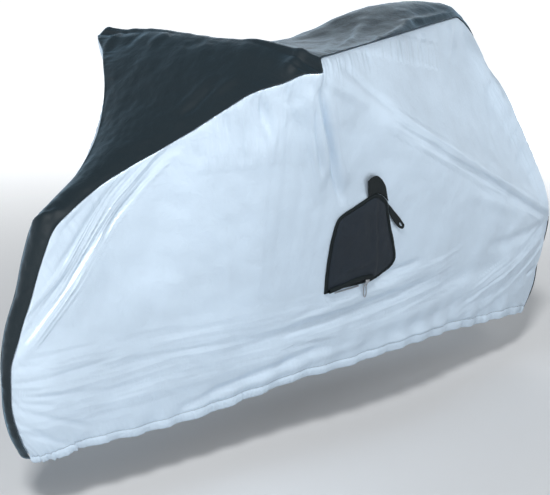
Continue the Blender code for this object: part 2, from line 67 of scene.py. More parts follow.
# ---- Studio -----------------------------------------------------------------------------------------------
# A plain pale floor at the height of the ground, soft lights in front and behind, and a sky that is white
# along the horizon and dimmer overhead.
FLOOR_SIZE, FLOOR_COLOUR = 60.0, (0.69, 0.70, 0.71, 1.0)
FLOOR_GLOW, FLOOR_GLOW_FROM, FLOOR_GLOW_TO = 1.3, 1.4, 5.0
SKY_ROWS = ((0.14, (0.80, 0.82, 0.84, 1.0)), (0.40, (0.13, 0.145, 0.16, 1.0)))
LIGHT_AIM = (-0.3, 0.0, -0.4)
LIGHTS = {
    "key_light": {"at": (-5.7, -4.2, 5.6), "size": 1.2, "watts": 580.0},
    "fill_light": {"at": (-0.4, -4.2, 2.8), "size": 1.6, "watts": 48.0},
    "back_light": {"at": (3.2, 3.4, 1.3), "size": 3.0, "watts": 85.0},
}

slab = bmesh.new()
bmesh.ops.create_grid(slab, x_segments=1, y_segments=1, size=FLOOR_SIZE / 2)
bmesh.ops.translate(slab, verts=slab.verts[:], vec=(0, 0, -MOUNT_AT[2]))
floor = bpy.data.objects.new("floor", bpy.data.meshes.new("floor"))
slab.to_mesh(floor.data)
slab.free()
floor_paint = bpy.data.materials.new("pale_floor")
floor_paint.use_nodes = True
floor_nodes, floor_links = floor_paint.node_tree.nodes, floor_paint.node_tree.links
floor_shader = floor_nodes["Principled BSDF"]
floor_shader.inputs["Base Color"].default_value = FLOOR_COLOUR
floor_shader.inputs["Roughness"].default_value = 0.9
floor_shader.inputs["Specular IOR Level"].default_value = 0.1
floor_shader.inputs["Emission Color"].default_value = FLOOR_COLOUR
floor_place = floor_nodes.new("ShaderNodeTexCoord")
floor_reach = floor_nodes.new("ShaderNodeVectorMath")
floor_reach.operation = "LENGTH"
floor_glow = floor_nodes.new("ShaderNodeMapRange")
floor_glow.interpolation_type = "SMOOTHSTEP"
floor_glow.inputs["From Min"].default_value = FLOOR_GLOW_FROM
floor_glow.inputs["From Max"].default_value = FLOOR_GLOW_TO
floor_glow.inputs["To Max"].default_value = FLOOR_GLOW
floor_links.new(floor_place.outputs["Object"], floor_reach.inputs[0])
floor_links.new(floor_reach.outputs["Value"], floor_glow.inputs["Value"])
floor_links.new(floor_glow.outputs["Result"], floor_shader.inputs["Emission Strength"])
floor.data.materials.append(floor_paint)
bpy.context.scene.collection.objects.link(floor)

for name, light in LIGHTS.items():
    lamp = bpy.data.objects.new(name, bpy.data.lights.new(name, "AREA"))
    lamp.data.size = light["size"]
    lamp.data.energy = light["watts"]
    lamp.location = light["at"]
    lamp.rotation_euler = (Vector(LIGHT_AIM) - lamp.location).to_track_quat("-Z", "Y").to_euler()
    bpy.context.scene.collection.objects.link(lamp)

sky = bpy.data.worlds.new("sky")
sky.use_nodes = True
direction = sky.node_tree.nodes.new("ShaderNodeTexCoord")
height = sky.node_tree.nodes.new("ShaderNodeSeparateXYZ")
shade = sky.node_tree.nodes.new("ShaderNodeValToRGB")
for stop, (place, colour) in zip(shade.color_ramp.elements, SKY_ROWS):
    stop.position = place
    stop.color = colour
sky.node_tree.links.new(direction.outputs["Generated"], height.inputs["Vector"])
sky.node_tree.links.new(height.outputs["Z"], shade.inputs["Fac"])
sky.node_tree.links.new(shade.outputs["Color"], sky.node_tree.nodes["Background"].inputs["Color"])
bpy.context.scene.world = sky
bpy.context.scene.view_settings.view_transform = "Standard"

# ---- Sewing pattern ---------------------------------------------------------------------------------------
# The seams that the three panels share, in the shape that they take in use.
# One row for each station from the front hem over the top to the rear hem.
# t: station; x, y, z: the near seam, y from the middle plane; mid_x, mid_z: the centre line beside it;
# far_in, far_drop: how much nearer the middle plane and how much lower the far seam hangs;
# hem_x: where the same section of the side panel meets the hem; belly: how far that section stands out.
SEAM_COLUMNS = ("t", "x", "y", "z", "mid_x", "mid_z", "far_in", "far_drop", "hem_x", "belly")
SEAM_ROWS = (
    (0.0, -0.308, 0.021, 0.169, -0.314, 0.166, 0.000, 0.000, -0.300, 0.000),
    (1.0, -0.333, 0.021, 0.220, -0.340, 0.219, 0.000, 0.000, -0.284, 0.008),
    (2.0, -0.351, 0.016, 0.300, -0.357, 0.300, 0.000, 0.000, -0.258, 0.016),
    (3.0, -0.352, 0.017, 0.375, -0.358, 0.376, 0.000, 0.000, -0.218, 0.020),
    (4.0, -0.332, 0.027, 0.459, -0.341, 0.461, 0.000, 0.000, -0.168, 0.022),
    (5.0, -0.304, 0.028, 0.531, -0.315, 0.534, 0.000, 0.000, -0.116, 0.020),
    (6.0, -0.279, 0.033, 0.608, -0.291, 0.613, 0.000, 0.000, -0.060, 0.018),
    (7.0, -0.249, 0.037, 0.674, -0.263, 0.684, 0.000, 0.000, -0.005, 0.016),
    (8.0, -0.203, 0.039, 0.710, -0.209, 0.724, 0.000, 0.000, 0.040, 0.014),
    (9.0, -0.136, 0.045, 0.752, -0.143, 0.763, 0.000, 0.000, 0.080, 0.012),
    (10.0, -0.076, 0.071, 0.790, -0.084, 0.801, 0.000, 0.000, 0.115, 0.010),
    (11.0, -0.018, 0.109, 0.829, -0.027, 0.842, 0.000, 0.000, 0.150, 0.006),
    (12.0, 0.033, 0.155, 0.872, 0.024, 0.887, 0.000, 0.000, 0.182, 0.002),
    (13.0, 0.076, 0.202, 0.916, 0.070, 0.934, 0.000, 0.000, 0.213, -0.002),
    (14.0, 0.113, 0.252, 0.957, 0.113, 0.980, -0.002, 0.000, 0.243, -0.006),
    (15.0, 0.152, 0.303, 0.981, 0.152, 1.015, -0.004, 0.002, 0.273, -0.008),
    (16.0, 0.176, 0.347, 1.004, 0.178, 1.033, -0.008, 0.003, 0.303, -0.010),
    (17.0, 0.200, 0.372, 1.008, 0.193, 1.040, -0.010, 0.006, 0.333, -0.010),
    (18.0, 0.213, 0.353, 1.034, 0.207, 1.043, -0.006, 0.010, 0.368, -0.008),
    (19.0, 0.250, 0.342, 1.037, 0.236, 1.036, 0.006, 0.032, 0.398, -0.006),
    (20.0, 0.310, 0.320, 1.037, 0.300, 1.017, 0.040, 0.058, 0.440, -0.002),
    (21.0, 0.400, 0.287, 1.037, 0.395, 1.006, 0.092, 0.080, 0.498, 0.004),
    (22.0, 0.500, 0.250, 1.037, 0.500, 1.012, 0.100, 0.082, 0.565, 0.008),
    (23.0, 0.600, 0.213, 1.037, 0.600, 1.032, 0.083, 0.067, 0.640, 0.010),
    (24.0, 0.700, 0.176, 1.037, 0.700, 1.062, 0.061, 0.047, 0.715, 0.012),
    (25.0, 0.800, 0.139, 1.037, 0.800, 1.078, 0.034, 0.025, 0.790, 0.012),
    (26.0, 0.900, 0.102, 1.037, 0.900, 1.081, 0.002, 0.007, 0.862, 0.012),
    (27.0, 0.985, 0.074, 1.038, 0.990, 1.075, -0.008, 0.001, 0.930, 0.010),
    (28.0, 1.045, 0.050, 1.037, 1.060, 1.063, 0.000, 0.000, 0.990, 0.010),
    (29.0, 1.083, 0.038, 1.025, 1.104, 1.041, 0.000, 0.000, 1.040, 0.010),
    (30.0, 1.130, 0.035, 0.993, 1.142, 1.004, 0.000, 0.000, 1.085, 0.012),
    (31.0, 1.182, 0.035, 0.918, 1.194, 0.927, 0.000, 0.000, 1.130, 0.014),
    (32.0, 1.260, 0.035, 0.846, 1.270, 0.856, 0.000, 0.000, 1.178, 0.016),
    (33.0, 1.330, 0.035, 0.758, 1.341, 0.767, 0.000, 0.000, 1.226, 0.018),
    (34.0, 1.392, 0.035, 0.678, 1.403, 0.687, 0.000, 0.000, 1.273, 0.018),
    (35.0, 1.450, 0.035, 0.602, 1.461, 0.611, 0.000, 0.000, 1.318, 0.018),
    (36.0, 1.504, 0.035, 0.528, 1.515, 0.536, 0.000, 0.000, 1.360, 0.016),
    (37.0, 1.545, 0.034, 0.452, 1.556, 0.459, 0.000, 0.000, 1.396, 0.014),
    (38.0, 1.571, 0.032, 0.398, 1.584, 0.398, 0.000, 0.000, 1.424, 0.010),
    (39.0, 1.557, 0.034, 0.345, 1.568, 0.342, 0.000, 0.000, 1.437, 0.008),
    (40.0, 1.530, 0.035, 0.288, 1.541, 0.286, 0.000, 0.000, 1.445, 0.006),
    (41.0, 1.519, 0.035, 0.215, 1.530, 0.213, 0.000, 0.000, 1.450, 0.004),
    (42.0, 1.486, 0.035, 0.157, 1.495, 0.151, 0.000, 0.000, 1.452, 0.002),
    (43.0, 1.461, 0.035, 0.126, 1.467, 0.120, 0.000, 0.000, 1.453, 0.000),
)
# The lower edge of a side panel. y: distance from the middle plane; z: height of the edge.
HEM_COLUMNS = ("x", "y", "z")
HEM_ROWS = (
    (-0.308, 0.021, 0.169),
    (-0.292, 0.027, 0.154),
    (-0.255, 0.039, 0.158),
    (-0.200, 0.049, 0.166),
    (-0.122, 0.060, 0.169),
    (-0.033, 0.067, 0.163),
    (0.070, 0.074, 0.162),
    (0.203, 0.088, 0.170),
    (0.335, 0.106, 0.187),
    (0.430, 0.121, 0.200),
    (0.522, 0.137, 0.202),
    (0.641, 0.149, 0.207),
    (0.741, 0.154, 0.209),
    (0.855, 0.149, 0.207),
    (0.999, 0.125, 0.195),
    (1.153, 0.100, 0.171),
    (1.297, 0.080, 0.157),
    (1.400, 0.058, 0.142),
    (1.461, 0.035, 0.126),
)
# How far apart the columns of a panel's mesh stand along its seam: closest where the creases are sharpest.
MESH_COLUMNS = 418
PITCH_COLUMNS = ("t", "pitch")
PITCH_ROWS = (
    (0.0, 0.0060),
    (4.0, 0.0055),
    (6.0, 0.0044),
    (12.0, 0.0042),
    (13.5, 0.0034),
    (15.0, 0.0031),
    (20.0, 0.0034),
    (21.5, 0.0070),
    (23.0, 0.0120),
    (34.0, 0.0125),
    (38.0, 0.0085),
    (43.0, 0.0080),
)
CLOTH = 0.0007


def curves(columns, rows):
    """The other columns of a table as smooth functions of the first, without overshoot between rows."""
    table = np.array(rows, float)
    at, values = table[:, 0], table[:, 1:]
    run = np.diff(at)[:, None]
    slope = np.diff(values, axis=0) / run
    same_way = slope[:-1] * slope[1:] > 0
    steep = np.where(same_way, 2 * slope[:-1] * slope[1:], 0.0)
    tangent = np.vstack([slope[:1], steep / np.where(same_way, slope[:-1] + slope[1:], 1.0), slope[-1:]])

    def read(places):
        places = np.clip(places, at[0], at[-1])
        i = np.clip(np.searchsorted(at, places) - 1, 0, len(at) - 2)
        f = ((places - at[i]) / run[i, 0])[..., None]
        mixed = (
            (2 * f**3 - 3 * f**2 + 1) * values[i]
            + (f**3 - 2 * f**2 + f) * run[i] * tangent[i]
            + (3 * f**2 - 2 * f**3) * values[i + 1]
            + (f**3 - f**2) * run[i] * tangent[i + 1]
        )
        return dict(zip(columns[1:], np.moveaxis(mixed, -1, 0)))

    return read


seam_at = curves(SEAM_COLUMNS, SEAM_ROWS)
hem_at = curves(HEM_COLUMNS, HEM_ROWS)
LAST_ROW, FINE_STEPS = SEAM_ROWS[-1][0], 4000

fine = np.linspace(0, LAST_ROW, FINE_STEPS)
seam_line = np.stack([seam_at(fine)[axis] for axis in "xyz"], axis=1)
seam_steps = np.linalg.norm(np.diff(seam_line, axis=0), axis=1)
column_steps = seam_steps / curves(PITCH_COLUMNS, PITCH_ROWS)(fine[1:])["pitch"]
column_run = np.concatenate([[0.0], np.cumsum(column_steps)])
stations = np.interp(np.linspace(0, column_run[-1], MESH_COLUMNS), column_run, fine)
seam_run = np.interp(stations, fine, np.concatenate([[0.0], np.cumsum(seam_steps)]))

# ---- Centre panel -----------------------------------------------------------------------------------------
# Black coated polyester, one plain length of cloth: a narrow strip down the front, a wide hood, and a strip
# over the top and down the rear.
CENTRE_ROWS = 92
CREST_COLUMNS = ("y", "rise")
CREST_ROWS = (
    (-0.370, 0.000),
    (-0.310, 0.008),
    (-0.240, 0.012),
    (-0.170, 0.013),
    (-0.110, 0.005),
    (0.000, -0.001),
    (0.110, 0.001),
    (0.230, 0.000),
    (0.300, -0.006),
    (0.370, -0.004),
)
CREST_X, CREST_REACH = 0.207, 0.05
crest_at = curves(CREST_COLUMNS, CREST_ROWS)

# Folds, one a row. x1, z1, x2, z2: the two ends on the sheet, which for this panel are the station and the
# distance from the middle plane; bow: how far the middle bends off the straight line; one_side, other_side:
# how far the slopes reach on either side of it; rise: the height of the ridge, negative for a trough.
CENTRE_FOLDS = (
    # over the top, from the near seam up and back
    (21.2, -0.215, 23.9, -0.040, 0.010, 0.012, 0.020, -0.009),
    (21.9, -0.240, 24.8, -0.112, 0.012, 0.010, 0.026, -0.009),
    (24.0, -0.135, 28.2, -0.040, 0.006, 0.010, 0.014, -0.006),
    (19.2, -0.325, 22.6, -0.060, 0.000, 0.009, 0.012, -0.005),
    (22.0, -0.150, 22.8, -0.010, 0.020, 0.007, 0.007, -0.002),
    # under the hood's two ends and across its front
    (15.2, -0.300, 18.6, -0.296, 0.000, 0.020, 0.014, -0.008),
    (12.3, -0.078, 14.2, -0.126, 0.000, 0.010, 0.012, -0.003),
    (12.2, -0.105, 13.7, -0.150, 0.000, 0.010, 0.010, 0.003),
    (13.1, -0.142, 14.6, -0.196, 0.000, 0.012, 0.014, -0.003),
    (14.6, 0.300, 17.8, 0.285, 0.000, 0.016, 0.016, -0.006),
    (15.0, 0.225, 17.2, 0.205, 0.000, 0.014, 0.018, 0.004),
    (15.0, 0.135, 17.0, 0.110, 0.000, 0.016, 0.016, -0.004),
    (15.1, 0.020, 16.8, -0.020, 0.000, 0.020, 0.016, 0.003),
    # down the front strip
    (6.90, 0.030, 7.95, -0.040, 0.000, 0.008, 0.010, -0.004),
    (7.05, -0.040, 7.75, 0.010, 0.000, 0.008, 0.010, 0.003),
    (4.90, 0.004, 5.35, -0.036, 0.000, 0.005, 0.007, -0.003),
    (5.80, 0.000, 5.95, -0.036, 0.000, 0.005, 0.006, -0.002),
    (3.20, 0.020, 3.35, -0.030, 0.000, 0.006, 0.006, -0.002),
    (2.70, 0.020, 2.45, -0.024, 0.000, 0.005, 0.006, -0.002),
    (2.20, 0.018, 1.90, -0.022, 0.000, 0.005, 0.006, -0.002),
)
CENTRE_GATHER_COLUMNS = ("t", "rise")
CENTRE_GATHER_ROWS = (
    (0.0, 0.0012),
    (4.0, 0.0006),
    (12.0, 0.0004),
    (18.0, 0.0016),
    (26.0, 0.0016),
    (43.0, 0.0008),
)
CENTRE_GATHER_PITCH, CENTRE_GATHER_REACH, CENTRE_GATHER_SEED = 0.019, 0.016, 5
SEAM_SINK, SEAM_SINK_WIDTH = 0.0012, 0.0030
# The small unevenness of the cloth, from a little off the seam: the height, size and seed of its bumps.
CENTRE_CRINKLES = ((0.0011, 0.045, 2.5), (0.0005, 0.018, 7.5))
CENTRE_CRINKLE_FROM = 0.006
# What the looks of all the cloths share. BLOTCHES: where each stop lies and how strong the colour is there.
SHEEN_ROUGHNESS, SHEEN_TINT = 0.35, (0.45, 0.75, 1.0, 1.0)
BLOTCH_SCALE, BLOTCH_DETAIL, BLOTCHES = 6.0, 4.0, ((0.30, 0.93), (0.70, 1.05))
CRUMPLE_SCALE, CRUMPLE_DETAIL, CRUMPLE_TWIST, CRUMPLE_DEPTH = 42.0, 5.0, 1.2, 0.002


def centre_surface(t, across):
    """The centre panel at stations t; across runs from -1 at the near seam to 1 at the far seam."""
    row = seam_at(t)
    crown = 1 - across * across
    far = np.maximum(across, 0.0)
    x = row["x"] + (row["mid_x"] - row["x"]) * crown
    y = (row["y"] - row["far_in"] * (across > 0)) * across
    z = row["z"] + (row["mid_z"] - row["z"]) * crown - row["far_drop"] * far * far
    nearness = np.exp(-(((x - CREST_X) / CREST_REACH) ** 2))
    return np.stack([x, y, z + crest_at(y)["rise"] * nearness * (1 - np.abs(across) ** 6)], axis=-1)


def relief(folds, across, up):
    """The sum of a table's folds over a sheet, each fading across its line and towards its ends."""
    total = np.zeros_like(across)
    for x1, z1, x2, z2, bow, one_side, other_side, rise in folds:
        run_x, run_z = x2 - x1, z2 - z1
        length = math.hypot(run_x, run_z)
        along = ((across - x1) * run_x + (up - z1) * run_z) / length**2
        off = ((across - x1) * run_z - (up - z1) * run_x) / length - bow * 4 * along * (1 - along)
        reach = np.where(off < 0, one_side, other_side)
        total += rise * np.maximum(0.0, 1 - (2 * along - 1) ** 4) * np.exp(-((off / reach) ** 2))
    return total


def uneven(along, pitch, seed):
    """An uneven row of gathers along a line, about one a pitch, between about -1 and 1."""
    random = np.random.default_rng(seed)
    total = np.zeros_like(along)
    for stretch in (0.58, 0.77, 1.0, 1.31, 1.83):
        total += np.sin(2 * np.pi * along * stretch / pitch + random.uniform(0, 2 * np.pi))
    return total / 3


def crinkle(across, up, size, seed):
    """Soft random unevenness over a sheet, between about -1 and 1, with bumps about size across."""
    places = zip((across / size).ravel(), (up / size).ravel())
    return np.array([noise.noise((x, y, seed)) for x, y in places]).reshape(across.shape) * 2


def grid_normals(points, first=None, last=None):
    """Unit normals of a grid of points. first and last: the rows that lie beyond its two edges."""
    first = 2 * points[0] - points[1] if first is None else first
    last = 2 * points[-1] - points[-2] if last is None else last
    padded = np.concatenate([first[None], points, last[None]])
    normal = np.cross(np.gradient(points, axis=1), padded[2:] - padded[:-2])
    return normal / np.linalg.norm(normal, axis=2, keepdims=True)


def cloth_look(name, colour, metallic, roughness, crinkles, weave_pitch, weave_bump, sheen=0.0, shine=0.2):
    """Coated cloth: a fine weave and soft crinkles in the bump, and a little unevenness of colour."""
    look = bpy.data.materials.new(name)
    look.use_nodes = True
    nodes, links = look.node_tree.nodes, look.node_tree.links
    shader = nodes["Principled BSDF"]
    shader.inputs["Metallic"].default_value = metallic
    shader.inputs["Roughness"].default_value = roughness
    shader.inputs["Specular IOR Level"].default_value = shine
    shader.inputs["Sheen Weight"].default_value = sheen
    shader.inputs["Sheen Roughness"].default_value = SHEEN_ROUGHNESS
    shader.inputs["Sheen Tint"].default_value = SHEEN_TINT
    place = nodes.new("ShaderNodeTexCoord")

    blotches = nodes.new("ShaderNodeTexNoise")
    blotches.inputs["Scale"].default_value = BLOTCH_SCALE
    blotches.inputs["Detail"].default_value = BLOTCH_DETAIL
    links.new(place.outputs["Object"], blotches.inputs["Vector"])
    tint = nodes.new("ShaderNodeValToRGB")
    for stop, (at, strength) in zip(tint.color_ramp.elements, BLOTCHES):
        stop.position = at
        stop.color = (*(min(1.0, strength * c) for c in colour), 1.0)
    links.new(blotches.outputs["Fac"], tint.inputs["Fac"])
    links.new(tint.outputs["Color"], shader.inputs["Base Color"])

    crumple = nodes.new("ShaderNodeTexNoise")
    crumple.inputs["Scale"].default_value = CRUMPLE_SCALE
    crumple.inputs["Detail"].default_value = CRUMPLE_DETAIL
    crumple.inputs["Distortion"].default_value = CRUMPLE_TWIST
    links.new(place.outputs["Object"], crumple.inputs["Vector"])
    crumple_bump = nodes.new("ShaderNodeBump")
    crumple_bump.inputs["Strength"].default_value = crinkles
    crumple_bump.inputs["Distance"].default_value = CRUMPLE_DEPTH
    links.new(crumple.outputs["Fac"], crumple_bump.inputs["Height"])

    threads = []
    for direction in ("X", "Y"):
        wave = nodes.new("ShaderNodeTexWave")
        wave.bands_direction = direction
        wave.inputs["Scale"].default_value = 1 / (2 * weave_pitch)
        links.new(place.outputs["UV"], wave.inputs["Vector"])
        threads.append(wave)
    weave = nodes.new("ShaderNodeMath")
    weave.operation = "MAXIMUM"
    for thread, socket in zip(threads, weave.inputs):
        links.new(thread.outputs["Fac"], socket)
    weave_relief = nodes.new("ShaderNodeBump")
    weave_relief.inputs["Strength"].default_value = weave_bump
    weave_relief.inputs["Distance"].default_value = weave_pitch / 2
    links.new(weave.outputs["Value"], weave_relief.inputs["Height"])
    links.new(crumple_bump.outputs["Normal"], weave_relief.inputs["Normal"])
    links.new(weave_relief.outputs["Normal"], shader.inputs["Normal"])
    return look


def cloth_sheet(name, points, flat, look, thick=CLOTH, turned=False, closed=False, cut=()):
    """A sheet of cloth over a grid of points from the pattern, with flat, its places on the cloth, as UV map.

    closed: the sheet meets itself where its edges lie on each other; cut: the cells that are cut out of it.
    """
    rows, columns = points.shape[:2]
    cloth = bmesh.new()
    bmesh.ops.create_grid(cloth, x_segments=columns - 1, y_segments=rows - 1, size=0.5)
    for corner, point in zip(cloth.verts, points.reshape(-1, 3)):
        corner.co = point - MOUNT_AT
    if turned:
        bmesh.ops.reverse_faces(cloth, faces=cloth.faces[:])
    cut_corners = {row * columns + column for row, column in cut}
    cut_out = [face for face in cloth.faces if min(corner.index for corner in face.verts) in cut_corners]
    uv_map = cloth.loops.layers.uv.new("cloth")
    for face in cloth.faces:
        for corner in face.loops:
            corner[uv_map].uv = flat.reshape(-1, 2)[corner.vert.index]
    bmesh.ops.delete(cloth, geom=cut_out, context="FACES")
    if closed:
        bmesh.ops.remove_doubles(cloth, verts=cloth.verts[:], dist=1e-6)
    piece = bpy.data.objects.new(name, bpy.data.meshes.new(name))
    cloth.to_mesh(piece.data)
    cloth.free()
    piece.data.materials.append(look)
    piece.data.shade_smooth()
    bpy.context.scene.collection.objects.link(piece)
    if thick:
        thickness = piece.modifiers.new("thickness", "SOLIDIFY")
        thickness.thickness = thick
        thickness.offset = -1.0
    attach(piece, "root")
    return piece


def near_seam(distance, pitch, reach, seed):
    """Gathers beside a seam, as a share of their rise: none at the seam itself, most at reach from it."""
    rows = uneven(np.broadcast_to(seam_run, distance.shape), pitch, seed)
    return rows * distance / reach * np.exp(1 - distance / reach)


black_coated = cloth_look(
    "black_coated_polyester", (0.009, 0.017, 0.022), 0.0, 0.58, 0.5, 0.0005, 0.15, sheen=0.5, shine=0.3
)
across = np.linspace(-1, 1, CENTRE_ROWS)[:, None] * np.ones(MESH_COLUMNS)
t = np.broadcast_to(stations, across.shape)
points = centre_surface(t, across)
mid_points = centre_surface(fine, np.zeros_like(fine))
mid_run = np.concatenate([[0.0], np.cumsum(np.linalg.norm(np.diff(mid_points, axis=0), axis=1))])


def on_centre(fold):
    """A fold of the centre panel with its stations turned into metres along the panel's middle line."""
    x1, z1, x2, z2, *rest = fold
    return (np.interp(x1, fine, mid_run), z1, np.interp(x2, fine, mid_run), z2, *rest)


along = np.broadcast_to(np.interp(stations, fine, mid_run), across.shape)
to_seam = (1 - np.abs(across)) * np.abs(points[:1, :, 1])
window = 1 - np.exp(-to_seam / CENTRE_CRINKLE_FROM)
rise = relief([on_centre(fold) for fold in CENTRE_FOLDS], along, points[..., 1]) * window
gather_rise = curves(CENTRE_GATHER_COLUMNS, CENTRE_GATHER_ROWS)(stations)["rise"]
rise += gather_rise * near_seam(to_seam, CENTRE_GATHER_PITCH, CENTRE_GATHER_REACH, CENTRE_GATHER_SEED)
for height, size, seed in CENTRE_CRINKLES:
    rise += height * crinkle(along, points[..., 1], size, seed) * window
rise -= SEAM_SINK * np.exp(-((to_seam / SEAM_SINK_WIDTH) ** 2))
points = points - grid_normals(points) * rise[..., None]
flat = np.stack([along, points[..., 1]], axis=-1)
centre_cloth = cloth_sheet("centre_cloth", points, flat, black_coated, turned=True)
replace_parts(centre_cloth, "centre_panel")

# ---- Side panels ------------------------------------------------------------------------------------------
# Light polyester with a silver coating, one piece a side from the front hem to the rear, pulled taut from the
# hood's end to the rearmost point. Their lower edge is turned up and stitched round an elastic.
TAUT_START, TAUT_END = (0.206, 0.365, 1.004), (1.571, 0.032, 0.398)
TAUT_FAR_SHARE, TAUT_ROUNDING = 0.7, 0.09
PANEL_ROWS = 114
SEAM_ZONE, SEAM_ZONE_ROWS, SEAM_ZONE_SHARE = 0.020, 6, 0.2
HEM_ZONE, HEM_ZONE_ROWS, HEM_ZONE_SHARE = 0.034, 13, 0.35
HEM_DEPTH = 0.024
HEM_WAVE, HEM_WAVE_RISE, HEM_WAVE_FROM = 0.090, 0.004, 0.86
NEAR_AREA, FAR_AREA, NEAR_SEED, FAR_SEED = 1.49, 1.45, 11, 23

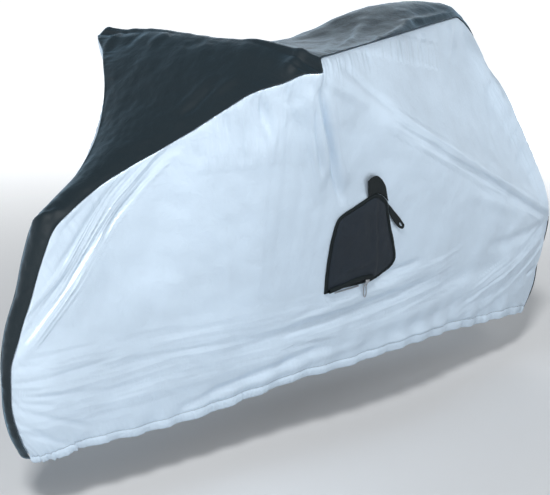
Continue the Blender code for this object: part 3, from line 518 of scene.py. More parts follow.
# The places of these folds are x and z. one_side is the lower right slope of a fold drawn leftwards, or the
# upper slope of one drawn rightwards.
NEAR_FOLDS = (
    # from the hood's seam down to the front strip
    (-0.060, 0.806, -0.250, 0.580, -0.006, 0.012, 0.010, -0.0080),
    (-0.040, 0.815, -0.345, 0.458, -0.018, 0.007, 0.008, -0.0070),
    (-0.018, 0.826, -0.348, 0.428, -0.018, 0.007, 0.007, -0.0070),
    (0.006, 0.856, -0.130, 0.640, -0.009, 0.007, 0.008, -0.0080),
    (-0.020, 0.830, -0.240, 0.560, -0.012, 0.006, 0.006, 0.0030),
    (-0.060, 0.730, -0.240, 0.545, -0.008, 0.006, 0.006, -0.0022),
    (-0.090, 0.660, -0.365, 0.388, -0.008, 0.026, 0.010, 0.0026),
    (-0.210, 0.572, -0.375, 0.380, -0.004, 0.018, 0.010, 0.0030),
    (-0.228, 0.672, -0.292, 0.612, 0.000, 0.010, 0.007, 0.0035),
    (-0.180, 0.705, -0.250, 0.650, 0.000, 0.007, 0.007, -0.0030),
    (-0.130, 0.752, -0.200, 0.690, 0.000, 0.007, 0.006, -0.0024),
    # the broad swell below the hood, which turns in three steps
    (0.070, 0.900, 0.185, 0.340, 0.000, 0.070, 0.080, 0.0060),
    (0.070, 0.900, 0.185, 0.340, 0.000, 0.014, 0.014, 0.0020),
    (0.095, 0.940, 0.190, 0.590, 0.000, 0.012, 0.016, 0.0012),
    (0.146, 0.900, 0.236, 0.440, 0.000, 0.030, 0.030, 0.0030),
    (0.146, 0.900, 0.236, 0.440, 0.000, 0.012, 0.012, 0.0010),
    # puckers below the hood's seam
    (0.019, 0.880, 0.004, 0.815, 0.000, 0.008, 0.010, -0.0030),
    (0.070, 0.925, 0.096, 0.865, 0.000, 0.007, 0.008, -0.0035),
    (0.094, 0.950, 0.126, 0.810, 0.000, 0.006, 0.006, 0.0030),
    (0.108, 0.970, 0.150, 0.840, 0.000, 0.006, 0.006, -0.0030),
    (0.112, 0.985, 0.168, 0.850, 0.000, 0.006, 0.006, -0.0060),
    (0.156, 0.990, 0.196, 0.850, 0.000, 0.008, 0.008, -0.0030),
    # under the hood's end
    (0.180, 0.985, 0.325, 0.715, 0.007, 0.010, 0.011, 0.0100),
    (0.185, 0.990, 0.305, 0.755, 0.000, 0.008, 0.008, -0.0065),
    (0.190, 0.980, 0.330, 0.750, 0.000, 0.010, 0.011, 0.0130),
    (0.205, 0.980, 0.405, 0.670, 0.000, 0.008, 0.008, -0.0100),
    (0.225, 0.970, 0.400, 0.705, -0.005, 0.020, 0.010, 0.0095),
    # the taut line, and the lean-in above it
    (0.190, 1.030, 1.620, 0.392, 0.000, 0.040, 0.010, 0.0030),
    (0.520, 0.880, 1.640, 0.384, 0.000, 0.060, 0.012, 0.0090),
    (0.900, 0.696, 1.640, 0.372, 0.000, 0.009, 0.030, -0.0040),
    (0.270, 1.022, 0.600, 0.842, 0.000, 0.007, 0.009, -0.0050),
    (0.215, 0.992, 0.430, 0.905, 0.000, 0.008, 0.012, 0.0035),
    (0.930, 0.610, 1.600, 0.380, 0.000, 0.014, 0.020, 0.0040),
    # from the top down the rear
    (1.032, 1.018, 0.925, 0.930, 0.000, 0.008, 0.010, -0.0065),
    (0.990, 1.022, 0.870, 0.860, 0.000, 0.014, 0.014, 0.0040),
    (0.800, 1.040, 0.735, 0.985, 0.000, 0.009, 0.009, -0.0050),
    (0.640, 1.040, 0.600, 0.980, 0.000, 0.012, 0.010, -0.0035),
    (0.420, 1.040, 0.445, 0.985, 0.000, 0.009, 0.010, -0.0040),
    (1.080, 0.990, 1.600, 0.396, -0.020, 0.055, 0.050, 0.0300),
    (1.080, 0.990, 1.600, 0.396, -0.020, 0.014, 0.014, 0.0020),
    (1.160, 0.835, 1.215, 0.880, 0.000, 0.006, 0.006, -0.0035),
    (1.185, 0.775, 1.255, 0.830, 0.000, 0.006, 0.007, -0.0040),
    (1.225, 0.715, 1.290, 0.775, 0.000, 0.007, 0.006, -0.0035),
    (1.260, 0.665, 1.330, 0.720, 0.000, 0.006, 0.007, -0.0040),
    (1.290, 0.610, 1.370, 0.660, 0.000, 0.006, 0.006, -0.0035),
    (1.345, 0.545, 1.420, 0.590, 0.000, 0.006, 0.006, -0.0030),
    # fanning out from the rear point
    (1.180, 0.425, 1.600, 0.403, 0.000, 0.012, 0.016, 0.0030),
    (1.130, 0.410, 1.620, 0.394, 0.000, 0.016, 0.030, -0.0090),
    (1.280, 0.350, 1.600, 0.396, 0.006, 0.010, 0.010, -0.0050),
    (1.080, 0.262, 1.600, 0.400, 0.030, 0.034, 0.012, 0.0050),
    (1.080, 0.238, 1.590, 0.372, 0.024, 0.014, 0.018, -0.0045),
    (1.060, 0.198, 1.560, 0.345, 0.010, 0.014, 0.014, 0.0030),
    (0.860, 0.380, 1.260, 0.350, 0.012, 0.020, 0.024, -0.0050),
    (1.425, 0.261, 1.500, 0.272, 0.000, 0.004, 0.006, -0.0060),
    # round the pouch
    (0.590, 0.446, 0.770, 0.458, 0.000, 0.006, 0.007, -0.0100),
    (0.575, 0.447, 0.650, 0.414, 0.000, 0.004, 0.005, -0.0060),
    (0.600, 0.436, 0.860, 0.438, 0.000, 0.010, 0.009, 0.0012),
    (0.600, 0.416, 0.700, 0.410, 0.000, 0.014, 0.010, 0.0040),
    # below the pouch, and along the hem
    (0.240, 0.362, 0.960, 0.420, -0.008, 0.030, 0.012, 0.0030),
    (0.180, 0.326, 0.880, 0.388, -0.008, 0.014, 0.026, -0.0120),
    (0.560, 0.372, 0.820, 0.384, 0.000, 0.007, 0.009, -0.0040),
    (0.440, 0.322, 1.060, 0.352, 0.000, 0.012, 0.016, -0.0036),
    (0.440, 0.285, 1.100, 0.322, 0.000, 0.020, 0.014, 0.0036),
    (0.700, 0.265, 1.250, 0.285, 0.000, 0.012, 0.016, -0.0044),
    (0.140, 0.198, 0.640, 0.272, -0.004, 0.012, 0.009, 0.0060),
    (0.060, 0.194, 0.520, 0.290, -0.004, 0.010, 0.010, -0.0075),
    (0.620, 0.240, 1.150, 0.232, 0.000, 0.010, 0.010, 0.0040),
    # the soft folds at the lower front, along the hem
    (-0.230, 0.412, 0.260, 0.402, 0.006, 0.009, 0.010, -0.0012),
    (-0.300, 0.385, 0.140, 0.372, 0.006, 0.009, 0.010, 0.0012),
    (-0.260, 0.358, 0.380, 0.352, 0.008, 0.008, 0.010, -0.0018),
    (-0.320, 0.328, 0.180, 0.318, 0.008, 0.009, 0.008, 0.0012),
    (-0.300, 0.306, 0.320, 0.296, 0.008, 0.009, 0.009, -0.0018),
    (-0.240, 0.272, 0.260, 0.268, 0.008, 0.009, 0.008, 0.0012),
    (-0.200, 0.244, 0.240, 0.246, 0.008, 0.008, 0.009, -0.0016),
    # the short gathers that fan out from the strip
    (-0.395, 0.400, -0.150, 0.412, 0.000, 0.006, 0.007, -0.0022),
    (-0.395, 0.384, -0.270, 0.394, 0.000, 0.005, 0.006, -0.0028),
    (-0.400, 0.349, -0.100, 0.370, 0.000, 0.006, 0.008, -0.0038),
    (-0.400, 0.334, -0.290, 0.331, 0.000, 0.005, 0.005, -0.0032),
    (-0.400, 0.326, -0.190, 0.310, 0.000, 0.005, 0.007, -0.0038),
    (-0.400, 0.318, -0.265, 0.292, 0.000, 0.005, 0.006, -0.0046),
    (-0.400, 0.318, -0.170, 0.216, 0.000, 0.006, 0.007, -0.0036),
    (-0.390, 0.292, -0.265, 0.210, 0.000, 0.005, 0.006, -0.0040),
    (-0.380, 0.260, -0.220, 0.184, 0.000, 0.006, 0.006, -0.0038),
)
FAR_FOLDS = (
    # the fullness just below the hood's seam and at the hood's end
    (-0.235, 0.672, 0.080, 0.878, 0.000, 0.050, 0.030, 0.0240),
    (0.110, 0.900, 0.260, 0.960, 0.000, 0.050, 0.030, 0.0120),
    (-0.060, 0.800, -0.320, 0.430, -0.010, 0.010, 0.012, -0.0050),
    (-0.020, 0.830, -0.300, 0.380, -0.012, 0.016, 0.012, 0.0050),
    (0.010, 0.850, -0.180, 0.520, -0.010, 0.010, 0.010, -0.0040),
    (0.150, 0.940, 0.180, 0.500, 0.000, 0.045, 0.050, -0.0080),
    (0.205, 0.990, 0.360, 0.600, 0.000, 0.020, 0.030, 0.0100),
    (0.250, 0.980, 0.440, 0.560, -0.010, 0.012, 0.014, -0.0070),
    (0.330, 0.960, 0.560, 0.520, 0.000, 0.024, 0.030, 0.0060),
    (0.420, 0.930, 0.760, 0.480, 0.010, 0.022, 0.030, -0.0070),
    (0.500, 0.900, 1.560, 0.420, -0.020, 0.036, 0.020, 0.0070),
    (0.560, 0.840, 1.580, 0.400, -0.020, 0.016, 0.030, -0.0090),
    (0.860, 1.010, 0.960, 0.600, 0.000, 0.030, 0.030, -0.0090),
    (0.960, 0.980, 1.200, 0.560, 0.010, 0.024, 0.020, 0.0060),
    (1.120, 0.960, 1.520, 0.460, -0.010, 0.028, 0.018, 0.0060),
    (1.200, 0.850, 1.540, 0.420, 0.000, 0.012, 0.012, -0.0030),
    (0.260, 0.340, 0.960, 0.400, 0.000, 0.028, 0.016, 0.0060),
    (0.240, 0.296, 0.920, 0.352, -0.010, 0.016, 0.026, -0.0100),
    (0.500, 0.560, 1.300, 0.330, 0.020, 0.034, 0.024, 0.0080),
    (0.700, 0.430, 1.480, 0.300, 0.016, 0.020, 0.020, -0.0060),
    (1.120, 0.330, 1.590, 0.396, 0.010, 0.016, 0.014, 0.0050),
    (1.100, 0.395, 1.590, 0.402, 0.000, 0.014, 0.016, -0.0050),
    (-0.300, 0.380, 0.240, 0.372, 0.006, 0.014, 0.014, -0.0030),
    (-0.320, 0.340, 0.180, 0.325, 0.006, 0.014, 0.014, 0.0030),
    (-0.300, 0.290, 0.360, 0.290, 0.008, 0.014, 0.014, -0.0030),
    (-0.400, 0.352, -0.220, 0.366, 0.000, 0.006, 0.007, -0.0034),
    (-0.400, 0.316, -0.230, 0.270, 0.000, 0.006, 0.006, -0.0034),
    (0.280, 0.230, 0.820, 0.262, 0.000, 0.010, 0.012, 0.0040),
)
# How strongly the elastic gathers the hem, and how far the cloth beside the seam is puckered.
HEM_GATHER_COLUMNS = ("x", "rise")
HEM_GATHER_ROWS = (
    (-0.308, 0.0030),
    (-0.200, 0.0030),
    (-0.130, 0.0014),
    (0.100, 0.0009),
    (0.500, 0.0009),
    (0.900, 0.0014),
    (1.150, 0.0022),
    (1.461, 0.0028),
)
HEM_GATHER_PITCH, HEM_GATHER_REACH, HEM_GATHER_SHARE, HEM_PUFF = 0.015, 0.020, 0.8, 0.0022
STITCH_SINK, STITCH_SINK_WIDTH = 0.0022, 0.0022
PUCKER_COLUMNS = ("t", "rise", "roll")
PUCKER_ROWS = (
    (0.0, 0.0010, 0.000),
    (8.0, 0.0008, 0.001),
    (12.0, 0.0014, 0.001),
    (17.0, 0.0018, 0.001),
    (19.0, 0.0026, 0.008),
    (23.0, 0.0026, 0.009),
    (27.0, 0.0020, 0.006),
    (29.0, 0.0014, 0.002),
    (31.0, 0.0012, 0.000),
    (43.0, 0.0012, 0.000),
)
PUCKER_PITCH, PUCKER_REACH, ROLL_REACH, ROLL_FADE = 0.019, 0.014, 0.012, 6
# How near the seam the folds and the small unevenness begin, and how high and wide the unevenness is. The
# last kind of it grows towards the rear.
FOLDS_FROM, CRINKLE_FROM, JUST_OVER_SEAM = 0.012, 0.01, 0.98
SWELL, SWELL_SIZE = 0.0016, 0.110
CRINKLE, CRINKLE_SIZE, CRINKLE_SLANT = 0.0007, 0.034, 0.4
REAR_CRINKLE, REAR_CRINKLE_SIZE = 0.0009, 0.042
REAR_FROM, REAR_OVER, REAR_LEAST = 0.75, 0.5, 0.25
# How softly the panel turns where it falls from the hood's end: over how many stations to either side.
SOFTENED_AT, SOFTENED_REACH, SOFTENED_BY, SOFTENED_FROM = 17.0, 4.5, 2.6, 0.12
SOFTENED_STEPS = ((-1.0, 0.16), (-0.5, 0.22), (0.0, 0.24), (0.5, 0.22), (1.0, 0.16))


def taut_rise(top, low, down):
    """How far the taut line pushes out each section from top to low, a rounded tent over the line."""
    run = np.array(TAUT_END) - np.array(TAUT_START)
    way = low - top
    to_start = np.array(TAUT_START) - top
    crossing = run[0] * way[..., 2] - way[..., 0] * run[2]
    crossing = np.where(np.abs(crossing) < 1e-9, 1e-9, crossing)
    break_at = (run[0] * to_start[..., 2] - to_start[..., 0] * run[2]) / crossing
    along = (way[..., 0] * to_start[..., 2] - way[..., 2] * to_start[..., 0]) / crossing
    crossed = (break_at > 0) & (break_at < 1) & (along > 0) & (along < 1)
    break_at = np.where(crossed, break_at, 0.5)
    height = TAUT_START[1] + run[1] * along - (top[..., 1] + way[..., 1] * break_at)
    rising, falling = down / break_at, (1 - down) / (1 - break_at)
    spread = TAUT_ROUNDING / np.minimum(1.0, 4 * break_at * (1 - break_at) + 0.2)
    tent = 0.5 * (rising + falling - np.sqrt((rising - falling) ** 2 + spread**2) + spread)
    ends = 0.5 * (1 + spread) - 0.5 * np.sqrt(1 + spread**2)
    return np.where(crossed & (height > 0), height * (tent - ends * (np.abs(2 * down - 1) ** 3)), 0.0)


def stretched(t, down, side):
    """A side panel without its folds, at stations t and down from its seam, with y from the middle plane."""
    row = seam_at(t)
    hem = hem_at(row["hem_x"])
    far = float(side > 0)
    top = np.stack([row["x"], row["y"] - far * row["far_in"], row["z"] - far * row["far_drop"]], axis=-1)
    low = np.stack([row["hem_x"], hem["y"], hem["z"]], axis=-1)
    point = top + (low - top) * down[..., None]
    point[..., 1] += row["belly"] * 4 * down * (1 - down)
    point[..., 1] += taut_rise(top, low, down) * (1.0 if side < 0 else TAUT_FAR_SHARE)
    return point, np.linalg.norm(low - top, axis=-1)


def side_surface(t, down, side, folds):
    """A side panel at stations t; down runs from 0 at the seam to 1 at the hem, side is -1 near and 1 far."""
    spread = SOFTENED_BY * np.exp(-(((t - SOFTENED_AT) / SOFTENED_REACH) ** 2))
    spread = spread * (1 - np.exp(-((down / SOFTENED_FROM) ** 2))) * (1 - down**4)
    point = sum(share * stretched(t + step * spread, down, side)[0] for step, share in SOFTENED_STEPS)
    ends = np.minimum(1.0, np.minimum((LAST_ROW - t) / 2, t / 2))
    sewn = 1 - np.exp(-down * stretched(t, down, side)[1] / FOLDS_FROM)
    point[..., 1] += relief(folds, point[..., 0], point[..., 2]) * sewn * ends
    share = np.maximum(0.0, (down - HEM_WAVE_FROM) / (1 - HEM_WAVE_FROM))
    point[..., 1] += HEM_WAVE_RISE * share * np.sin(2 * np.pi * point[..., 0] / HEM_WAVE + side)
    return point * (1, side, 1)


def panel_rows(t):
    """How far down a side panel its mesh rows lie at each station, closest at the seam and the hem."""
    row = seam_at(t)
    hem = hem_at(row["hem_x"])
    length = np.sqrt((row["x"] - row["hem_x"]) ** 2 + (row["y"] - hem["y"]) ** 2 + (row["z"] - hem["z"]) ** 2)
    seam_share = np.minimum(SEAM_ZONE / length, SEAM_ZONE_SHARE)
    hem_share = np.minimum(HEM_ZONE / length, HEM_ZONE_SHARE)
    middle_share = 1 - seam_share - hem_share
    middle_rows = PANEL_ROWS - SEAM_ZONE_ROWS - HEM_ZONE_ROWS
    down = np.concatenate(
        [
            np.linspace(0, 1, SEAM_ZONE_ROWS, endpoint=False)[:, None] * seam_share,
            seam_share + np.linspace(0, 1, middle_rows, endpoint=False)[:, None] * middle_share,
            1 - hem_share + np.linspace(0, 1, HEM_ZONE_ROWS)[:, None] * hem_share,
        ]
    )
    return down, length


def side_cloth(name, node, side, folds, pleats, seed):
    """One side panel with its folds, its puckers at the seam, and its gathered hem."""
    down, length = panel_rows(stations)
    t = np.broadcast_to(stations, down.shape)
    points = side_surface(t, down, side, folds)
    beyond = centre_surface(stations, np.full(MESH_COLUMNS, side * JUST_OVER_SEAM))
    outward = grid_normals(points, beyond) * side
    to_seam, to_hem = down * length, (1 - down) * length
    x, z = points[..., 0], points[..., 2]
    hem_run = np.concatenate([[0.0], np.cumsum(np.linalg.norm(np.diff(points[-1], axis=0), axis=1))])
    in_hem = to_hem < HEM_DEPTH

    pucker = curves(PUCKER_COLUMNS, PUCKER_ROWS)(stations)
    rise = pucker["rise"] * near_seam(to_seam, PUCKER_PITCH, PUCKER_REACH, seed)
    rolled = (1 - np.exp(-to_seam / ROLL_REACH)) * np.exp(-to_seam / (ROLL_FADE * ROLL_REACH))
    rise += pucker["roll"] * rolled
    gathers = curves(HEM_GATHER_COLUMNS, HEM_GATHER_ROWS)(points[-1, :, 0])["rise"]
    gathers = gathers * uneven(hem_run, HEM_GATHER_PITCH, seed + 1)
    over_hem = HEM_GATHER_SHARE * np.exp(-(to_hem - HEM_DEPTH) / HEM_GATHER_REACH)
    rise += gathers * np.where(in_hem, 1.0, over_hem)
    rise += HEM_PUFF * np.where(in_hem, np.sin(np.pi * np.minimum(1, to_hem / HEM_DEPTH)), 0.0)
    rise -= STITCH_SINK * np.exp(-(((to_hem - HEM_DEPTH) / STITCH_SINK_WIDTH) ** 2))
    window = 1 - np.exp(-to_seam / CRINKLE_FROM)
    rise += SWELL * crinkle(x, z, SWELL_SIZE, seed + 0.5) * window
    rise += CRINKLE * crinkle(x + CRINKLE_SLANT * z, z, CRINKLE_SIZE, seed + 3.5) * window
    rear = np.clip((x - REAR_FROM) / REAR_OVER, REAR_LEAST, 1.0)
    rise += REAR_CRINKLE * rear * crinkle(x, z, REAR_CRINKLE_SIZE, seed + 6.5) * window
    rise -= SEAM_SINK * np.exp(-((to_seam / SEAM_SINK_WIDTH) ** 2))
    points = points + outward * rise[..., None]
    flat = np.stack([np.broadcast_to(hem_run, down.shape), to_hem], axis=-1)
    cloth = cloth_sheet(name, points, flat, silver_coated, turned=side < 0)
    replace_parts(cloth, node)

    pleat_places, depth = pleated(pleats, x, z)
    corners = np.empty(len(cloth.data.loops), int)
    cloth.data.loops.foreach_get("vertex_index", corners)
    pleat_map = cloth.data.uv_layers.new(name="pleats")
    pleat_map.uv.foreach_set("vector", pleat_places.reshape(-1, 2)[corners].ravel())
    cloth.data.attributes.new("pleat_depth", "FLOAT", "POINT").data.foreach_set("value", depth.ravel())
    return points


# Bundles of fine pleats that run side by side, one a row. x1, z1, x2, z2, bow: the bundle's line, as for a
# fold; reach: how far it spreads on either side; pitch: from pleat to pleat; depth: a share of the deepest.
NEAR_PLEATS = (
    (-0.010, 0.840, -0.345, 0.430, -0.012, 0.030, 0.010, 0.70),
    (-0.420, 0.325, 0.500, 0.350, 0.012, 0.085, 0.024, 0.55),
    (0.205, 0.980, 0.360, 0.700, 0.000, 0.050, 0.020, 0.60),
    (0.090, 1.000, 0.130, 0.780, 0.000, 0.070, 0.014, 0.80),
    (0.480, 0.880, 1.620, 0.378, 0.000, 0.026, 0.016, 0.60),
    (1.120, 0.980, 1.540, 0.430, -0.010, 0.050, 0.014, 0.35),
    (1.000, 0.240, 1.610, 0.390, 0.012, 0.050, 0.018, 0.80),
    (0.180, 0.330, 1.000, 0.395, 0.000, 0.050, 0.022, 0.80),
    (0.540, 1.060, 0.526, 0.995, 0.000, 0.300, 0.020, 0.80),
)
FAR_PLEATS = (
    (-0.010, 0.840, -0.345, 0.430, -0.012, 0.030, 0.010, 0.80),
    (-0.420, 0.325, 0.500, 0.340, 0.012, 0.085, 0.024, 0.60),
    (0.205, 1.000, 0.420, 0.560, -0.004, 0.060, 0.020, 0.70),
    (0.480, 0.900, 1.600, 0.390, -0.020, 0.030, 0.018, 0.60),
    (1.120, 0.980, 1.540, 0.430, -0.010, 0.050, 0.016, 0.70),
)
PLEAT_WANDER, PLEAT_RISE = 0.22, 0.0075
# How far past its reach a bundle fades out, how fast it fades beside the next, and a distance past them all.
PLEAT_SPREAD, PLEAT_PARTING, PAST_ALL = 1.2, 5, 9.0
# The thread of the hem's stitch line: how wide it is, how long a stitch is, and how much of it shows.
THREAD_WIDTH, STITCH_PITCH, STITCH_SHARE = 0.0011, 0.0036, 0.72
THREAD_COLOUR = (0.10, 0.12, 0.14, 1.0)


def pleated(bundles, x, z):
    """For each place its position in the nearest bundle, across and along its pleats, and their depth there.

    How far a place lies from a bundle is 0 at its middle and 1 at its edges. The pleats die away at the edges
    and where another bundle lies as near.
    """
    places, depths = np.zeros((*x.shape, 2)), np.zeros_like(x)
    nearest, next_nearest = np.full_like(x, PAST_ALL), np.full_like(x, PAST_ALL)
    for x1, z1, x2, z2, bow, reach, pitch, depth in bundles:
        run_x, run_z = x2 - x1, z2 - z1
        length = math.hypot(run_x, run_z)
        along = ((x - x1) * run_x + (z - z1) * run_z) / length**2
        off = ((x - x1) * run_z - (z - z1) * run_x) / length - bow * 4 * along * (1 - along)
        distance = np.maximum(np.abs(2 * along - 1), np.abs(off) / (PLEAT_SPREAD * reach))
        nearer = distance < nearest
        next_nearest = np.where(nearer, nearest, np.minimum(next_nearest, distance))
        nearest = np.where(nearer, distance, nearest)
        place = np.stack([off / pitch, along * length / PLEAT_WANDER + x1], axis=-1)
        places = np.where(nearer[..., None], place, places)
        depths = np.where(nearer, depth, depths)
    parting = np.minimum(1.0, PLEAT_PARTING * (next_nearest - nearest))
    fading = np.maximum(0.0, 1 - nearest**4) * parting
    return places, depths * fading


silver_coated = cloth_look("silver_coated_polyester", (0.62, 0.735, 0.85), 0.45, 0.44, 0.45, 0.0005, 0.12)
nodes, links = silver_coated.node_tree.nodes, silver_coated.node_tree.links
shader = nodes["Principled BSDF"]
pleat_place = nodes.new("ShaderNodeUVMap")
pleat_place.uv_map = "pleats"
pleat_noise = nodes.new("ShaderNodeTexNoise")
pleat_noise.noise_dimensions = "2D"
pleat_noise.inputs["Scale"].default_value = 1.0
pleat_noise.inputs["Detail"].default_value = 1.5
links.new(pleat_place.outputs["UV"], pleat_noise.inputs["Vector"])
pleat_depth = nodes.new("ShaderNodeAttribute")
pleat_depth.attribute_name = "pleat_depth"
pleat_height = nodes.new("ShaderNodeMath")
pleat_height.operation = "MULTIPLY"
links.new(pleat_noise.outputs["Fac"], pleat_height.inputs[0])
links.new(pleat_depth.outputs["Fac"], pleat_height.inputs[1])
pleat_relief = nodes.new("ShaderNodeBump")
pleat_relief.inputs["Distance"].default_value = PLEAT_RISE
links.new(pleat_height.outputs["Value"], pleat_relief.inputs["Height"])
links.new(shader.inputs["Normal"].links[0].from_socket, pleat_relief.inputs["Normal"])
links.new(pleat_relief.outputs["Normal"], shader.inputs["Normal"])

cloth_place = nodes.new("ShaderNodeUVMap")
cloth_place.uv_map = "cloth"
on_cloth = nodes.new("ShaderNodeSeparateXYZ")
links.new(cloth_place.outputs["UV"], on_cloth.inputs["Vector"])
on_line = nodes.new("ShaderNodeMath")
on_line.operation = "COMPARE"
on_line.inputs[1].default_value = HEM_DEPTH
on_line.inputs[2].default_value = THREAD_WIDTH / 2
links.new(on_cloth.outputs["Y"], on_line.inputs[0])
in_stitch = nodes.new("ShaderNodeMath")
in_stitch.operation = "PINGPONG"
in_stitch.inputs[1].default_value = STITCH_PITCH / 2
links.new(on_cloth.outputs["X"], in_stitch.inputs[0])
stitch_shows = nodes.new("ShaderNodeMath")
stitch_shows.operation = "LESS_THAN"
stitch_shows.inputs[1].default_value = STITCH_PITCH / 2 * STITCH_SHARE
links.new(in_stitch.outputs["Value"], stitch_shows.inputs[0])
thread_shows = nodes.new("ShaderNodeMath")
thread_shows.operation = "MULTIPLY"
links.new(on_line.outputs["Value"], thread_shows.inputs[0])
links.new(stitch_shows.outputs["Value"], thread_shows.inputs[1])
stitched = nodes.new("ShaderNodeMix")
stitched.data_type = "RGBA"
stitched.inputs["B"].default_value = THREAD_COLOUR
links.new(thread_shows.outputs["Value"], stitched.inputs["Factor"])
links.new(shader.inputs["Base Color"].links[0].from_socket, stitched.inputs["A"])
links.new(stitched.outputs["Result"], shader.inputs["Base Color"])

near_points = side_cloth(
    "near_side_cloth", "side_panel_near", -1, NEAR_FOLDS, NEAR_PLEATS, NEAR_SEED
)
side_cloth("far_side_cloth", "side_panel_far", 1, FAR_FOLDS, FAR_PLEATS, FAR_SEED)

# ---- Pouch front ------------------------------------------------------------------------------------------
# One piece of plain black polyester over the flat pouch that the whole cover packs into. It stands off the
# side panel up to a fold down its length, and lies flatter behind it.
POUCH_SIDES = {
    "bottom": ((0.417, 0.437), (0.478, 0.442), (0.530, 0.442), (0.585, 0.444), (0.636, 0.464)),
    "back": ((0.650, 0.482), (0.646, 0.503), (0.630, 0.535), (0.602, 0.584)),
    "top": ((0.572, 0.642), (0.556, 0.660), (0.524, 0.678), (0.500, 0.679), (0.449, 0.661), (0.406, 0.643)),
    "front": ((0.393, 0.620), (0.394, 0.570), (0.404, 0.500)),
}
POUCH_STEPS, POUCH_GRID = 10, (42, 48)
POUCH_CUT, POUCH_AREA, POUCH_CLOTH = (0.25, 0.25), 0.044, 0.0012
POUCH_FLAT_PLACES = ((0.42, 0.46), (0.62, 0.50), (0.50, 0.66))
LAY_GAP, SEAM_GAP, SEWN_GAP = 0.0010, 0.0003, 0.0008
BINDING_WIDTH, BINDING_THICK, UNDER_BINDING = 0.009, 0.0034, 0.0015
POUCH_CRINKLE, POUCH_CRINKLE_SIZE, POUCH_CRINKLE_SEED = 0.0006, 0.022, 41.5
# How steeply the pouch rises from its foot and from its head, and its folds from both.
PUFF_FOOT, PUFF_HEAD, POUCH_FOLD_ENDS = 6, 4, 8
PUFF_COLUMNS = ("across", "rise")
PUFF_ROWS = (
    (0.00, 0.0000),
    (0.03, 0.0036),
    (0.10, 0.0068),
    (0.35, 0.0080),
    (0.60, 0.0074),
    (0.68, 0.0086),
    (0.71, 0.0048),
    (0.74, 0.0020),
    (0.90, 0.0022),
    (1.00, 0.0000),
)
POUCH_FOLDS = (
    (0.400, 0.640, 0.462, 0.612, 0.000, 0.005, 0.003, -0.0022),
    (0.408, 0.616, 0.434, 0.606, 0.000, 0.004, 0.003, -0.0018),
    (0.410, 0.580, 0.470, 0.560, 0.000, 0.012, 0.008, -0.0012),
    (0.455, 0.496, 0.560, 0.510, 0.000, 0.004, 0.010, 0.0016),
    (0.450, 0.480, 0.552, 0.488, 0.000, 0.010, 0.008, -0.0022),
    (0.568, 0.630, 0.632, 0.496, 0.000, 0.003, 0.003, -0.0018),
    (0.470, 0.660, 0.520, 0.560, 0.006, 0.010, 0.012, 0.0012),
    (0.500, 0.640, 0.545, 0.520, 0.004, 0.006, 0.010, -0.0010),
)

near_grid = near_points.reshape(-1, 3)
near_columns = near_points.shape[1]
near_cells = [
    (i + j, i + j + 1, i + near_columns + j + 1, i + near_columns + j)
    for i in range(0, len(near_grid) - near_columns, near_columns)
    for j in range(near_columns - 1)
]
near_skin = BVHTree.FromPolygons([Vector(point) for point in near_grid], near_cells)


def on_near_cloth(x, z, lift=0.0, out=(0.0, 0.0, 0.0)):
    """The point of the near side panel at (x, z), moved by lift along out."""
    hit = near_skin.ray_cast(Vector((x, -1.0, z)), Vector((0.0, 1.0, 0.0)))[0]
    return np.array(hit) + lift * np.array(out)


low_front, low_back, high = (on_near_cloth(*place) for place in POUCH_FLAT_PLACES)
pouch_out = np.cross(low_back - low_front, high - low_front)
pouch_out /= np.linalg.norm(pouch_out)


def laid(places, lift):
    """A grid of places, x and z, on the near side panel, raised by lift."""
    raised = np.broadcast_to(lift, places.shape[:2])
    rows = [
        [on_near_cloth(x, z, LAY_GAP + height, pouch_out) for (x, z), height in zip(*row)]
        for row in zip(places, raised)
    ]
    return np.array(rows)


def smooth_line(points, steps, closed=False):
    """A smooth line through the points. A repeated point makes a sharp corner."""
    points = np.array(points)
    before_first, after_last = (points[-1:], points[:2]) if closed else (points[:1], points[-1:])
    around = np.concatenate([before_first, points, after_last])
    shares = (np.arange(steps) / steps)[:, None]
    line = []
    for before, start, end, after in zip(around, around[1:], around[2:], around[3:]):
        if not np.allclose(start, end):
            bend = 2 * before - 5 * start + 4 * end - after
            twist = 3 * start - before - 3 * end + after
            line.append(start + 0.5 * ((end - before) * shares + bend * shares**2 + twist * shares**3))
    return np.concatenate(line if closed else [*line, points[-1:]])


def set_in(line, distance):
    """A closed line, anticlockwise seen from the near side, moved inwards by distance."""
    ahead, behind = np.roll(line, -1, axis=0) - line, line - np.roll(line, 1, axis=0)
    ahead /= np.linalg.norm(ahead, axis=1, keepdims=True)
    behind /= np.linalg.norm(behind, axis=1, keepdims=True)
    mean = ahead + behind
    mean /= np.linalg.norm(mean, axis=1, keepdims=True)
    inward = np.stack([-mean[:, 1], mean[:, 0]], axis=1)
    return line + inward * distance / np.clip((mean * ahead).sum(axis=1, keepdims=True), 0.5, 1.0)


def resampled(line, shares):
    """The points of a line at the given shares of its length."""
    lengths = np.concatenate([[0.0], np.cumsum(np.linalg.norm(np.diff(line, axis=0), axis=1))])
    return np.stack([np.interp(np.array(shares) * lengths[-1], lengths, line[:, k]) for k in (0, 1)], axis=1)


def patch(bottom, top, front, back, across, up):
    """A grid of places between four lines: bottom and top run backwards, front and back run upwards."""
    low, high = resampled(bottom, across)[None], resampled(top, across)[None]
    left, right = resampled(front, up)[:, None], resampled(back, up)[:, None]
    u, v = np.array(across)[None, :, None], np.array(up)[:, None, None]
    low_corners = (1 - u) * low[:, :1] + u * low[:, -1:]
    high_corners = (1 - u) * high[:, :1] + u * high[:, -1:]
    corners = (1 - v) * low_corners + v * high_corners
    return (1 - v) * low + v * high + (1 - u) * left + u * right - corners


